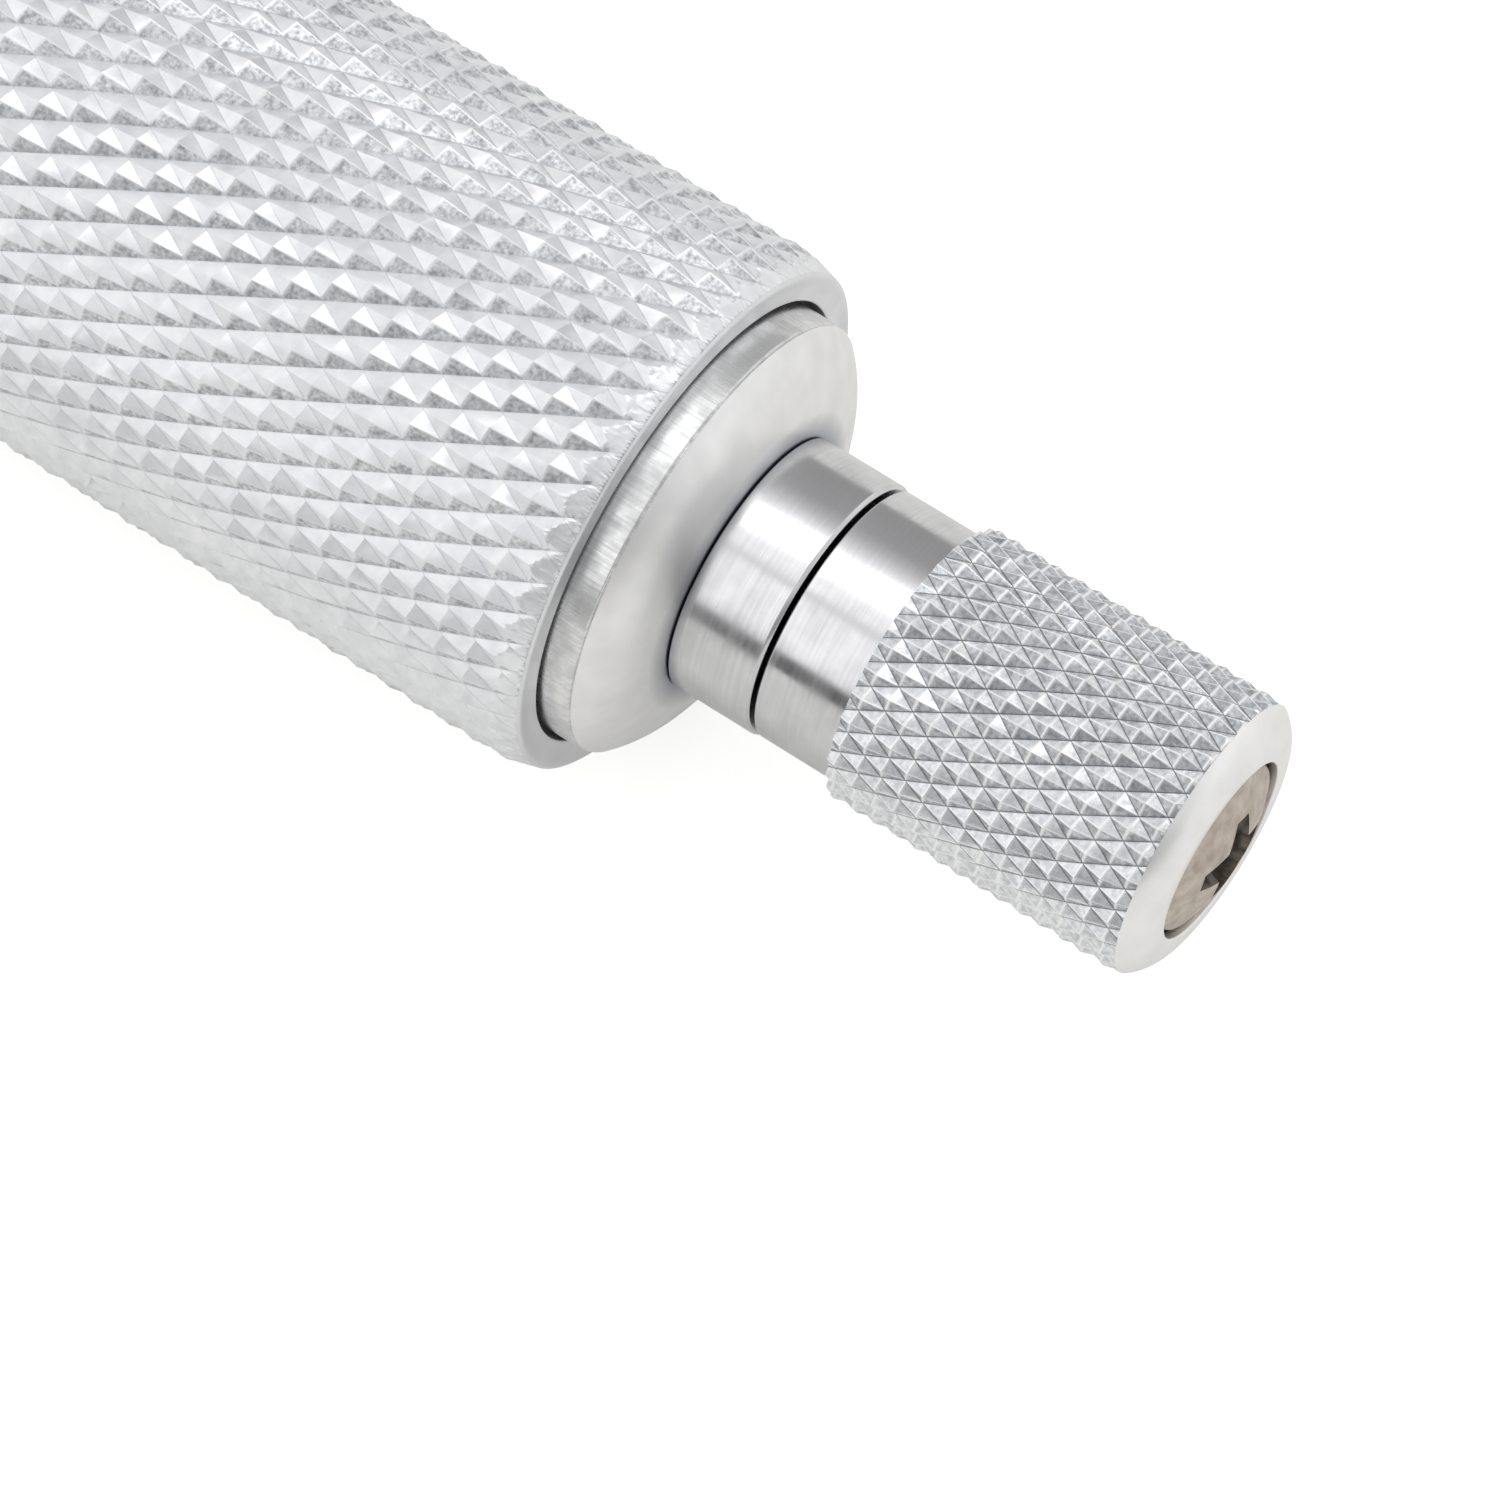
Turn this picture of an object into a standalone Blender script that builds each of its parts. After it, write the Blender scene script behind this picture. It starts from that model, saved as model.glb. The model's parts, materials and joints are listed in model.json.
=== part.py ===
"""Outside micrometer, 0 to 25 mm, with a knurled thimble and a ratchet stop.

The measuring axis is +X, from the anvil to the ratchet. The origin is the centre of the
anvil's measuring face, the frame's bow hangs towards -Y and its flat sides face +Z and -Z.
The thimble stands at a reading of 10 mm. Lengths are metres.
"""
import math

import bmesh
import bpy

MM = 0.001

# Gaps between pieces, and how far a cutter overruns the face that it opens
SEAT_GAP = 0.05 * MM          # a piece that is screwed, pressed or brazed to its neighbour
RUN_GAP = 0.10 * MM           # a piece that turns or slides on its neighbour
SHOULDER_GAP = 0.20 * MM      # end faces that pass each other
OVERRUN = 1.0 * MM

# Measuring travel
READING = 10.0 * MM
THREAD_STANDOUT = 0.8 * MM    # the screw thread's height above the plain spindle
THREAD_LEAD_IN = 1.0 * MM     # thread's front end to the sleeve's narrow bore, at a reading of zero

# Anvil and spindle
SPINDLE_R = 3.175 * MM
TIP_LENGTH = 1.0 * MM
TIP_CHAMFER = 0.15 * MM
ANVIL_SHANK = 7.8 * MM        # length held in the frame

# Frame
ANVIL_STANDOUT = 3.2 * MM     # anvil boss to measuring face
BOSS_R = 5.2 * MM
BOSS_LENGTH = 9.8 * MM
THROAT_R = 16.5 * MM
THROAT_DROP = 10.0 * MM       # centre of the bow below the measuring axis
BOW_WIDTH = 12.5 * MM
FRAME_HALF = 3.75 * MM        # half thickness of the bow
FRAME_BEVEL = 0.9 * MM
LUG_CORNER = 1.5 * MM
BOSS_CHAMFER = 0.5 * MM
BOW_BLEND = math.radians(8)     # how far the throat's arc runs past its half turn
LUG_STEP = 0.6 * MM           # bow's lug inside the boss
HUB_R = 7.5 * MM
HUB_LENGTH = 14.5 * MM
GUIDE_LENGTH = 8.8 * MM       # plain spindle guide in the hub

# Insulating grip plates
PLATE_WIDTH = 8.0 * MM
PLATE_THICKNESS = 2.4 * MM
PLATE_FIRST = math.radians(206)
PLATE_LAST = math.radians(334)
PLATE_SCREW_INSET = math.radians(10)
PLATE_BEVEL = 0.5 * MM
PLATE_SCREW_HEAD_R = 1.5 * MM
PLATE_SCREW_HEAD = 0.8 * MM
PLATE_SCREW_R = 0.8 * MM
PLATE_SCREW_BITE = 2.1 * MM   # length of the screw in the frame

# Sleeves
INNER_SLEEVE_R = 6.0 * MM
INNER_SLEEVE_REACH = 44.0 * MM    # beyond the hub
SLEEVE_FRONT_BORE = 6.0 * MM      # beyond the hub
THREAD_GRIP = 14.0 * MM           # length of the sleeve's internal thread
THREAD_RELIEF = 0.25 * MM
SLIT_WIDTH = 0.8 * MM
SLIT_LENGTH = 9.5 * MM
SLIT_COUNT = 3
NUT_WALL = 0.95 * MM
NUT_LENGTH = 5.0 * MM
NUT_FROM_END = 1.0 * MM
OUTER_SLEEVE_WALL = 1.39 * MM
SLEEVE_TO_NUT = 1.9 * MM          # outer sleeve's end to the nut
SLEEVE_CHAMFER = 0.3 * MM
SPANNER_HOLE_R = 0.6 * MM
SPANNER_HOLE_X = 3.0 * MM         # from the sleeve's front end

# Thimble
THIMBLE_R = 9.0 * MM              # over the knurl
BARREL_R = 8.95 * MM
THIMBLE_LENGTH = 46.0 * MM
THIMBLE_BORE_R = 7.66 * MM
ZERO_FROM_HUB = 5.5 * MM          # thimble edge to hub at a reading of zero
BEVEL_LENGTH = 5.5 * MM
BEVEL_EDGE_R = 7.95 * MM
KNURL_COUNT = 48                  # grooves round the thimble, each way
KNURL_PITCH = 2.18 * MM           # along the axis
KNURL_ROWS = 24                   # half pitches
KNURL_DEPTH = 0.28 * MM
KNURL_RELIEF_R = 8.72 * MM        # turned groove before the knurl
KNURL_RELIEF = 0.6 * MM
TAIL_SHOULDER_R = 8.85 * MM
TAIL_LIP_R = 8.56 * MM
TAIL_LENGTH = 1.3 * MM            # plain end behind the knurl
TAIL_CONE = 0.62 * MM
TAIL_CONE_R = 8.79 * MM

# Thimble hub, the domed collar
HUB_PLATE_REACH = 6.5 * MM        # inside the thimble's rim
BAND_R = 7.475 * MM
BAND_START = 1.2 * MM             # inside the rim
BAND_END = 1.007 * MM             # outside the rim
DOME_HEIGHT = 1.336 * MM
DOME_POINTS = 6
TAPER_SMALL_R = 3.0 * MM
TAPER_END = 1.6 * MM              # spindle's tail, outside the rim
STUB_R = 1.25 * MM
STUB_LENGTH = 6.0 * MM

# Ratchet base
FLANGE_R = 4.35 * MM
FLANGE_LENGTH = 2.85 * MM
FLANGE_CHAMFER = 0.15 * MM
TOOTH_COUNT = 24
TOOTH_HEIGHT = 0.45 * MM
TOOTH_LEAN = 0.38                 # crest moves this share of a tooth, for a saw tooth
TOOTH_IN_R = 2.3 * MM
TOOTH_OUT_R = 3.1 * MM
CROWN_STANDOUT = 1.25 * MM
CROWN_FLOOR = 0.2 * MM
STEM_R = 1.9 * MM
SCREW_R = 0.95 * MM
SCREW_BITE = 5.0 * MM

# Ratchet knob
GROOVE = 0.28 * MM                # open gap between base and knob
WAIST_R = 4.276 * MM
WAIST_LENGTH = 2.8 * MM
WAIST_CHAMFER = 0.12 * MM
KNOB_SHOULDER = 0.12 * MM
KNOB_R = 4.734 * MM
KNOB_KNURL_COUNT = 33
KNOB_KNURL_PITCH = 1.47 * MM
KNOB_KNURL_ROWS = 14
KNOB_KNURL_DEPTH = 0.23 * MM
KNOB_EDGE_R = 4.6 * MM
KNOB_CROWN = 0.74 * MM
KNOB_CROWN_POINTS = 4
CAVITY_FLAT = 3.3 * MM            # half the width across the flats of the hexagonal socket
CAVITY_DEPTH = 7.0 * MM
CAVITY_DRAWN_R = 3.5 * MM         # round socket that the hexagon is pressed from
COUNTERBORE_R = 3.03 * MM
COUNTERBORE_DEPTH = 2.0 * MM
CLICK_GAP = 0.15 * MM
CLICK_RING_CROWN = 0.75 * MM
CLICK_RING_BODY = 1.1 * MM
SPRING_WIRE_R = 0.27 * MM
SPRING_COIL_R = 2.62 * MM
SPRING_TURNS = 3
SPRING_POINTS = 10                # in a turn

# End screw
HEAD_R = 2.85 * MM
HEAD_RIM = 1.5 * MM               # height of the head's straight side
HEAD_DOME = 0.7 * MM
HEAD_ROUND = 0.2 * MM
RECESS_SPAN = 2.9 * MM
RECESS_ARM = 0.72 * MM
RECESS_DEPTH = 1.3 * MM
RECESS_TAPER = 0.55

# Spindle lock
LOCK_X = 4.5 * MM                 # behind the hub's front face
STUD_R = 1.95 * MM
STUD_HEAD_R = 2.7 * MM
STUD_HEAD = 0.85 * MM
STUD_HEAD_CHAMFER = 0.2 * MM
STUD_SLOT = 0.7 * MM
SHOE_LENGTH = 1.15 * MM
LEVER_R = 3.4 * MM
LEVER_TIP_R = 1.6 * MM
LEVER_LENGTH = 9.5 * MM
LEVER_THICKNESS = 2.0 * MM
LEVER_BEVEL = 0.35 * MM

# Facets round a turned piece, and the angle above which an edge stays sharp
FINE = 40
COARSE = 24
SMALL = 16
SMOOTH_ANGLE = math.radians(20)

# Places along the measuring axis, worked out from the sizes above
ANVIL_FACE = 0.0
BOSS_FRONT = ANVIL_FACE - ANVIL_STANDOUT
BOSS_BACK = BOSS_FRONT - BOSS_LENGTH
LUG_FACE = BOSS_FRONT - LUG_STEP / 2
LUG_BACK = BOSS_BACK + LUG_STEP
BOW_X = LUG_FACE + LUG_STEP / 2 + THROAT_R
HUB_FRONT = BOW_X + THROAT_R - LUG_STEP
HUB_REAR = HUB_FRONT + HUB_LENGTH
GUIDE_END = HUB_FRONT + GUIDE_LENGTH
SPINDLE_FACE = ANVIL_FACE + READING
INNER_FRONT = GUIDE_END + SHOULDER_GAP
INNER_END = HUB_REAR + INNER_SLEEVE_REACH
THREAD_START = INNER_END - THREAD_GRIP
OUTER_FRONT = HUB_REAR + SHOULDER_GAP
ZERO_LINE = HUB_REAR + ZERO_FROM_HUB
THIMBLE_EDGE = ZERO_LINE + READING
RIM = THIMBLE_EDGE + THIMBLE_LENGTH
HUB_PLATE_FRONT = RIM - HUB_PLATE_REACH
DOME_FACE = RIM + BAND_END + DOME_HEIGHT
THREAD_R = SPINDLE_R + THREAD_STANDOUT
FLANGE_FRONT = DOME_FACE + SEAT_GAP
FLANGE_REAR = FLANGE_FRONT + FLANGE_LENGTH
CROWN_FACE = FLANGE_REAR + CROWN_STANDOUT
KNOB_FRONT = FLANGE_REAR + GROOVE
KNOB_KNURL_START = KNOB_FRONT + WAIST_LENGTH
KNOB_KNURL_END = KNOB_KNURL_START + KNOB_KNURL_ROWS * KNOB_KNURL_PITCH / 2
KNOB_END = KNOB_KNURL_END + KNOB_CROWN
CAVITY_FLOOR = KNOB_FRONT + CAVITY_DEPTH
COUNTERBORE_FLOOR = KNOB_END - COUNTERBORE_DEPTH
HEAD_SEAT = COUNTERBORE_FLOOR + RUN_GAP
STEM_END = HEAD_SEAT - SEAT_GAP
RING_FACE = CROWN_FACE + CLICK_GAP
RING_BACK = RING_FACE + CLICK_RING_CROWN + CLICK_RING_BODY
OUTER_SLEEVE_R = INNER_SLEEVE_R + SEAT_GAP + OUTER_SLEEVE_WALL
LOCK_AT = HUB_FRONT + LOCK_X
BOW_R = THROAT_R + BOW_WIDTH
BOW_Y = -THROAT_DROP
PLATE_R = THROAT_R + BOW_WIDTH / 2


# Tools

def clear_scene():
    """Remove every object the file starts with."""
    for obj in list(bpy.data.objects):
        bpy.data.objects.remove(obj, do_unlink=True)


def new_collection(name):
    collection = bpy.data.collections.new(name)
    bpy.context.scene.collection.children.link(collection)
    return collection


def new_material(name, colour, roughness, metallic):
    """A plain Principled finish; colour is linear."""
    material = bpy.data.materials.new(name)
    material.use_nodes = True
    shader = material.node_tree.nodes["Principled BSDF"]
    shader.inputs["Base Color"].default_value = (*colour, 1.0)
    shader.inputs["Roughness"].default_value = roughness
    shader.inputs["Metallic"].default_value = metallic
    return material


def link(obj, collection, material=None):
    collection.objects.link(obj)
    if material:
        obj.data.materials.append(material)
    return obj


def turned(name, outline, collection, material=None, steps=FINE, closed=True):
    """A piece turned about the measuring axis.

    The outline is a list of (x, radius), from the rear along the outside to the front, and
    back through the bore where it is closed. Local +Z lies along world +X.
    """
    count = len(outline)
    edges = [(i, i + 1) for i in range(count - 1)]
    if closed:
        edges.append((count - 1, 0))
    mesh = bpy.data.meshes.new(name)
    mesh.from_pydata([(radius, 0.0, x) for x, radius in outline], edges, [])
    obj = link(bpy.data.objects.new(name, mesh), collection, material)
    screw = obj.modifiers.new("turn", 'SCREW')
    screw.axis = 'Z'
    screw.angle = math.tau
    screw.steps = steps
    screw.render_steps = steps
    screw.use_merge_vertices = True
    screw.merge_threshold = 1e-6
    screw.use_smooth_shade = False
    obj.rotation_euler = (0.0, math.pi / 2, 0.0)
    return obj


def apply_modifiers(obj):
    """Turn an object's evaluated shape into its mesh."""
    bpy.context.view_layer.update()
    graph = bpy.context.evaluated_depsgraph_get()
    mesh = bpy.data.meshes.new_from_object(obj.evaluated_get(graph))
    old = obj.data
    obj.modifiers.clear()
    obj.data = mesh
    bpy.data.meshes.remove(old)
    mesh.name = obj.name


def finish(obj):
    """Apply what is still live and shade the round faces smooth."""
    apply_modifiers(obj)
    obj.data.shade_smooth()
    obj.data.set_sharp_from_angle(angle=SMOOTH_ANGLE)


def outline_solid(name, points, low, high, collection, material=None):
    """A flat outline in the XY plane, thick from low to high along Z, as a mesh."""
    curve = bpy.data.curves.new(name, 'CURVE')
    curve.dimensions = '2D'
    curve.fill_mode = 'BOTH'
    curve.extrude = (high - low) / 2
    spline = curve.splines.new('POLY')
    spline.points.add(len(points) - 1)
    for point, (x, y) in zip(spline.points, points):
        point.co = (x, y, 0.0, 1.0)
    spline.use_cyclic_u = True
    drawn = link(bpy.data.objects.new(name, curve), collection)
    drawn.location.z = (high + low) / 2
    bpy.context.view_layer.update()
    graph = bpy.context.evaluated_depsgraph_get()
    mesh = bpy.data.meshes.new_from_object(drawn.evaluated_get(graph))
    solid = bpy.data.objects.new(name + "_solid", mesh)
    solid.matrix_world = drawn.matrix_world
    bpy.data.objects.remove(drawn, do_unlink=True)
    bpy.data.curves.remove(curve)
    solid.name = name
    link(solid, collection, material)
    work = bmesh.new()
    work.from_mesh(mesh)
    bmesh.ops.remove_doubles(work, verts=work.verts, dist=1e-6)
    bmesh.ops.dissolve_limit(work, angle_limit=1e-3, verts=work.verts, edges=work.edges)
    bmesh.ops.recalc_face_normals(work, faces=work.faces)
    work.to_mesh(mesh)
    work.free()
    return solid


def bevel_rims(obj, width, segments=2, sides=(1, -1)):
    """Round the edges between an outline solid's flat faces and its wall."""
    work = bmesh.new()
    work.from_mesh(obj.data)
    rims = []
    for edge in work.edges:
        normals = [face.normal.z for face in edge.link_faces]
        flat = [n for n in normals if abs(n) > 0.99]
        if len(flat) == 1 and any(flat[0] * side > 0 for side in sides):
            rims.append(edge)
    bmesh.ops.bevel(work, geom=rims, offset=width, segments=segments, profile=0.5,
                    affect='EDGES', clamp_overlap=True, material=-1)
    work.to_mesh(obj.data)
    work.free()


def post(name, x, y, low, high, radius, collection, material=None, steps=COARSE):
    """A plain cylinder that stands along Z."""
    mesh = bpy.data.meshes.new(name)
    work = bmesh.new()
    bmesh.ops.create_cone(work, cap_ends=True, segments=steps, radius1=radius,
                          radius2=radius, depth=high - low)
    work.to_mesh(mesh)
    work.free()
    obj = link(bpy.data.objects.new(name, mesh), collection, material)
    obj.location = (x, y, (low + high) / 2)
    return obj


def combine(obj, other, operation):
    """Keep a Boolean on obj with other as its guide."""
    other.hide_render = True
    other.display_type = 'WIRE'
    modifier = obj.modifiers.new(other.name, 'BOOLEAN')
    modifier.operation = operation
    modifier.solver = 'EXACT'
    modifier.object = other


def arc(centre_x, centre_y, radius, first, last, count):
    """Points on an arc, from one angle to the other, both ends included."""
    points = []
    for i in range(count):
        angle = first + (last - first) * i / (count - 1)
        points.append((centre_x + radius * math.cos(angle), centre_y + radius * math.sin(angle)))
    return points


def crown(face, height, inner_r, outer_r, count):
    """Outline points of a domed end, from its flat middle out to its edge.

    The arc leaves the face at inner_r square to the axis and drops by height at outer_r.
    """
    reach = outer_r - inner_r
    radius = (height ** 2 + reach ** 2) / (2 * height)
    points = []
    for i in range(count):
        offset = reach * i / (count - 1)
        points.append((face - radius + math.sqrt(radius ** 2 - offset ** 2), inner_r + offset))
    return points


def polar(vertex):
    return math.hypot(vertex.co.x, vertex.co.y), math.atan2(vertex.co.y, vertex.co.x)


def place(vertex, radius, angle):
    vertex.co.x = radius * math.cos(angle)
    vertex.co.y = radius * math.sin(angle)


def cut_knurl(obj, start, pitch, rows, count, crest_r, depth):
    """Press a crossed knurl into a turned mesh.

    Every other point of the rows between start and the knurl's end sinks by depth. Cut
    along the sunk points, each diamond is a pyramid with four flat sides.
    """
    work = bmesh.new()
    work.from_mesh(obj.data)
    row_step = pitch / 2
    turn_step = math.pi / count
    cells = set()
    for vertex in work.verts:
        radius, angle = polar(vertex)
        row = (vertex.co.z - start) / row_step
        if abs(radius - crest_r) > depth / 4 or row < -0.1 or row > rows + 0.1:
            continue
        cells.add(vertex)
        if (round(row) + round(angle / turn_step)) % 2 == 0:
            place(vertex, radius - depth, angle)
    faces = [face for face in work.faces if all(v in cells for v in face.verts)]
    bmesh.ops.triangulate(work, faces=faces, quad_method='SHORT_EDGE')
    work.to_mesh(obj.data)
    work.free()


def cut_hexagon(obj, low, high, drawn_r, flat):
    """Turn the round wall of radius drawn_r between low and high into a hexagon."""
    sector = math.pi / 3
    for vertex in obj.data.vertices:
        radius, angle = polar(vertex)
        if abs(radius - drawn_r) < 1e-6 and low - 1e-6 <= vertex.co.z <= high + 1e-6:
            place(vertex, flat / math.cos(angle % sector - sector / 2), angle)


def cut_teeth(obj, face, steps):
    """Raise and lean every other point of a crown, for a ring of saw teeth."""
    turn_step = math.tau / steps
    for vertex in obj.data.vertices:
        radius, angle = polar(vertex)
        on_crown = TOOTH_IN_R - 1e-6 <= radius <= TOOTH_OUT_R + 1e-6
        if on_crown and abs(vertex.co.z - face) < 1e-6 and round(angle / turn_step) % 2:
            vertex.co.z += TOOTH_HEIGHT
            place(vertex, radius, angle + TOOTH_LEAN * 2 * turn_step)


# Frame and what is fixed to it

def bow_outline():
    """The C of the frame, from the top of the lug round the throat to the hub and back."""
    top = BOSS_R - LUG_STEP
    points = [(LUG_FACE, top - LUG_CORNER)]
    points += arc(BOW_X, BOW_Y, THROAT_R, math.pi - BOW_BLEND, math.tau + BOW_BLEND, 22)
    points += [(HUB_FRONT + LUG_STEP, 0.0), (HUB_REAR - LUG_STEP, 0.0)]
    points += arc(BOW_X, BOW_Y, BOW_R, math.tau + BOW_BLEND / 4, math.pi - BOW_BLEND / 2, 26)
    points += [(LUG_BACK, -LUG_STEP), (LUG_BACK, top - LUG_CORNER), (LUG_BACK + LUG_CORNER, top)]
    points += [(LUG_FACE - LUG_CORNER, top)]
    return points


def plate_screw_places():
    """Angle names and places of the two screws of a grip plate."""
    places = []
    for angle in (PLATE_FIRST + PLATE_SCREW_INSET, PLATE_LAST - PLATE_SCREW_INSET):
        places.append((BOW_X + PLATE_R * math.cos(angle), BOW_Y + PLATE_R * math.sin(angle)))
    return places


def make_frame(parts, cutters, enamel):
    frame = outline_solid("frame", bow_outline(), -FRAME_HALF, FRAME_HALF, parts, enamel)
    bevel_rims(frame, FRAME_BEVEL)
    boss = [(BOSS_FRONT, 0.0), (BOSS_FRONT, BOSS_R - BOSS_CHAMFER), (BOSS_FRONT - BOSS_CHAMFER, BOSS_R),
            (BOSS_BACK + BOSS_CHAMFER, BOSS_R), (BOSS_BACK, BOSS_R - BOSS_CHAMFER), (BOSS_BACK, 0.0)]
    hub = [(HUB_REAR, 0.0), (HUB_REAR, HUB_R - BOSS_CHAMFER), (HUB_REAR - BOSS_CHAMFER, HUB_R),
           (HUB_FRONT + BOSS_CHAMFER, HUB_R), (HUB_FRONT, HUB_R - BOSS_CHAMFER), (HUB_FRONT, 0.0)]
    combine(frame, turned("boss_form", boss, cutters, closed=False), 'UNION')
    combine(frame, turned("hub_form", hub, cutters, closed=False), 'UNION')

    anvil_r = SPINDLE_R + SEAT_GAP
    anvil_bore = [(BOSS_FRONT + OVERRUN, 0.0), (BOSS_FRONT + OVERRUN, anvil_r)]
    anvil_floor = BOSS_FRONT - ANVIL_SHANK - SHOULDER_GAP
    anvil_bore += [(anvil_floor, anvil_r), (anvil_floor, 0.0)]
    combine(frame, turned("anvil_bore", anvil_bore, cutters, closed=False), 'DIFFERENCE')

    guide_r = SPINDLE_R + RUN_GAP
    sleeve_r = INNER_SLEEVE_R + SEAT_GAP
    hub_bore = [(HUB_REAR + OVERRUN, 0.0), (HUB_REAR + OVERRUN, sleeve_r), (GUIDE_END, sleeve_r),
                (GUIDE_END, guide_r), (HUB_FRONT - OVERRUN, guide_r), (HUB_FRONT - OVERRUN, 0.0)]
    combine(frame, turned("hub_bore", hub_bore, cutters, closed=False), 'DIFFERENCE')

    stud_r = STUD_R + RUN_GAP
    combine(frame, post("lock_hole", LOCK_AT, 0.0, 0.0, HUB_R + OVERRUN, stud_r, cutters), 'DIFFERENCE')

    hole_r = PLATE_SCREW_R + SEAT_GAP
    depth = FRAME_HALF - PLATE_SCREW_BITE - SHOULDER_GAP
    for side in (1, -1):
        for number, (x, y) in enumerate(plate_screw_places(), 1):
            low, high = sorted((side * depth, side * (FRAME_HALF + OVERRUN)))
            name = f"screw_hole_{'front' if side > 0 else 'rear'}_{number}"
            combine(frame, post(name, x, y, low, high, hole_r, cutters, steps=12), 'DIFFERENCE')
    return frame


def make_anvil(parts, steel, carbide):
    back = BOSS_FRONT - ANVIL_SHANK
    joint = ANVIL_FACE - TIP_LENGTH
    shank = [(joint - SEAT_GAP, 0.0), (joint - SEAT_GAP, SPINDLE_R),
             (back + TIP_CHAMFER, SPINDLE_R), (back, SPINDLE_R - TIP_CHAMFER), (back, 0.0)]
    turned("anvil", shank, parts, steel, COARSE, closed=False)
    tip = [(ANVIL_FACE, 0.0), (ANVIL_FACE, SPINDLE_R - TIP_CHAMFER),
           (ANVIL_FACE - TIP_CHAMFER, SPINDLE_R), (joint, SPINDLE_R), (joint, 0.0)]
    turned("anvil_tip", tip, parts, carbide, COARSE, closed=False)


def make_grip_plates(parts, cutters, plastic, steel):
    """Two plates on the bow's flat sides, each held by two countersunk screws."""
    half = PLATE_WIDTH / 2
    points = arc(BOW_X, BOW_Y, PLATE_R + half, PLATE_FIRST, PLATE_LAST, 18)
    end_x = BOW_X + PLATE_R * math.cos(PLATE_LAST)
    end_y = BOW_Y + PLATE_R * math.sin(PLATE_LAST)
    points += arc(end_x, end_y, half, PLATE_LAST, PLATE_LAST + math.pi, 7)[1:-1]
    points += arc(BOW_X, BOW_Y, PLATE_R - half, PLATE_LAST, PLATE_FIRST, 14)
    end_x = BOW_X + PLATE_R * math.cos(PLATE_FIRST)
    end_y = BOW_Y + PLATE_R * math.sin(PLATE_FIRST)
    points += arc(end_x, end_y, half, PLATE_FIRST + math.pi, PLATE_FIRST + math.tau, 7)[1:-1]

    seat = FRAME_HALF + SEAT_GAP
    face = seat + PLATE_THICKNESS
    head_top = face - SHOULDER_GAP
    head_low = head_top - PLATE_SCREW_HEAD
    number = 0
    for side, name in ((1, "front_grip_plate"), (-1, "rear_grip_plate")):
        low, high = sorted((side * seat, side * face))
        plate = outline_solid(name, points, low, high, parts, plastic)
        bevel_rims(plate, PLATE_BEVEL, sides=(side,))
        for x, y in plate_screw_places():
            number += 1
            low, high = sorted((side * (head_low - SEAT_GAP), side * (face + OVERRUN)))
            radius = PLATE_SCREW_HEAD_R + SEAT_GAP
            combine(plate, post(f"head_pocket_{number}", x, y, low, high, radius, cutters, steps=SMALL),
                    'DIFFERENCE')
            low, high = sorted((side * (seat - OVERRUN), side * (face + OVERRUN)))
            radius = PLATE_SCREW_R + SEAT_GAP
            combine(plate, post(f"plate_hole_{number}", x, y, low, high, radius, cutters, steps=12),
                    'DIFFERENCE')
            screw_end = FRAME_HALF - PLATE_SCREW_BITE
            outline = [(head_top, 0.0), (head_top, PLATE_SCREW_HEAD_R), (head_low, PLATE_SCREW_HEAD_R),
                       (head_low, PLATE_SCREW_R), (screw_end, PLATE_SCREW_R), (screw_end, 0.0)]
            screw = turned(f"plate_screw_{number}", outline, parts, steel, SMALL, closed=False)
            screw.rotation_euler = (0.0 if side > 0 else math.pi, 0.0, 0.0)
            screw.location = (x, y, 0.0)


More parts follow.
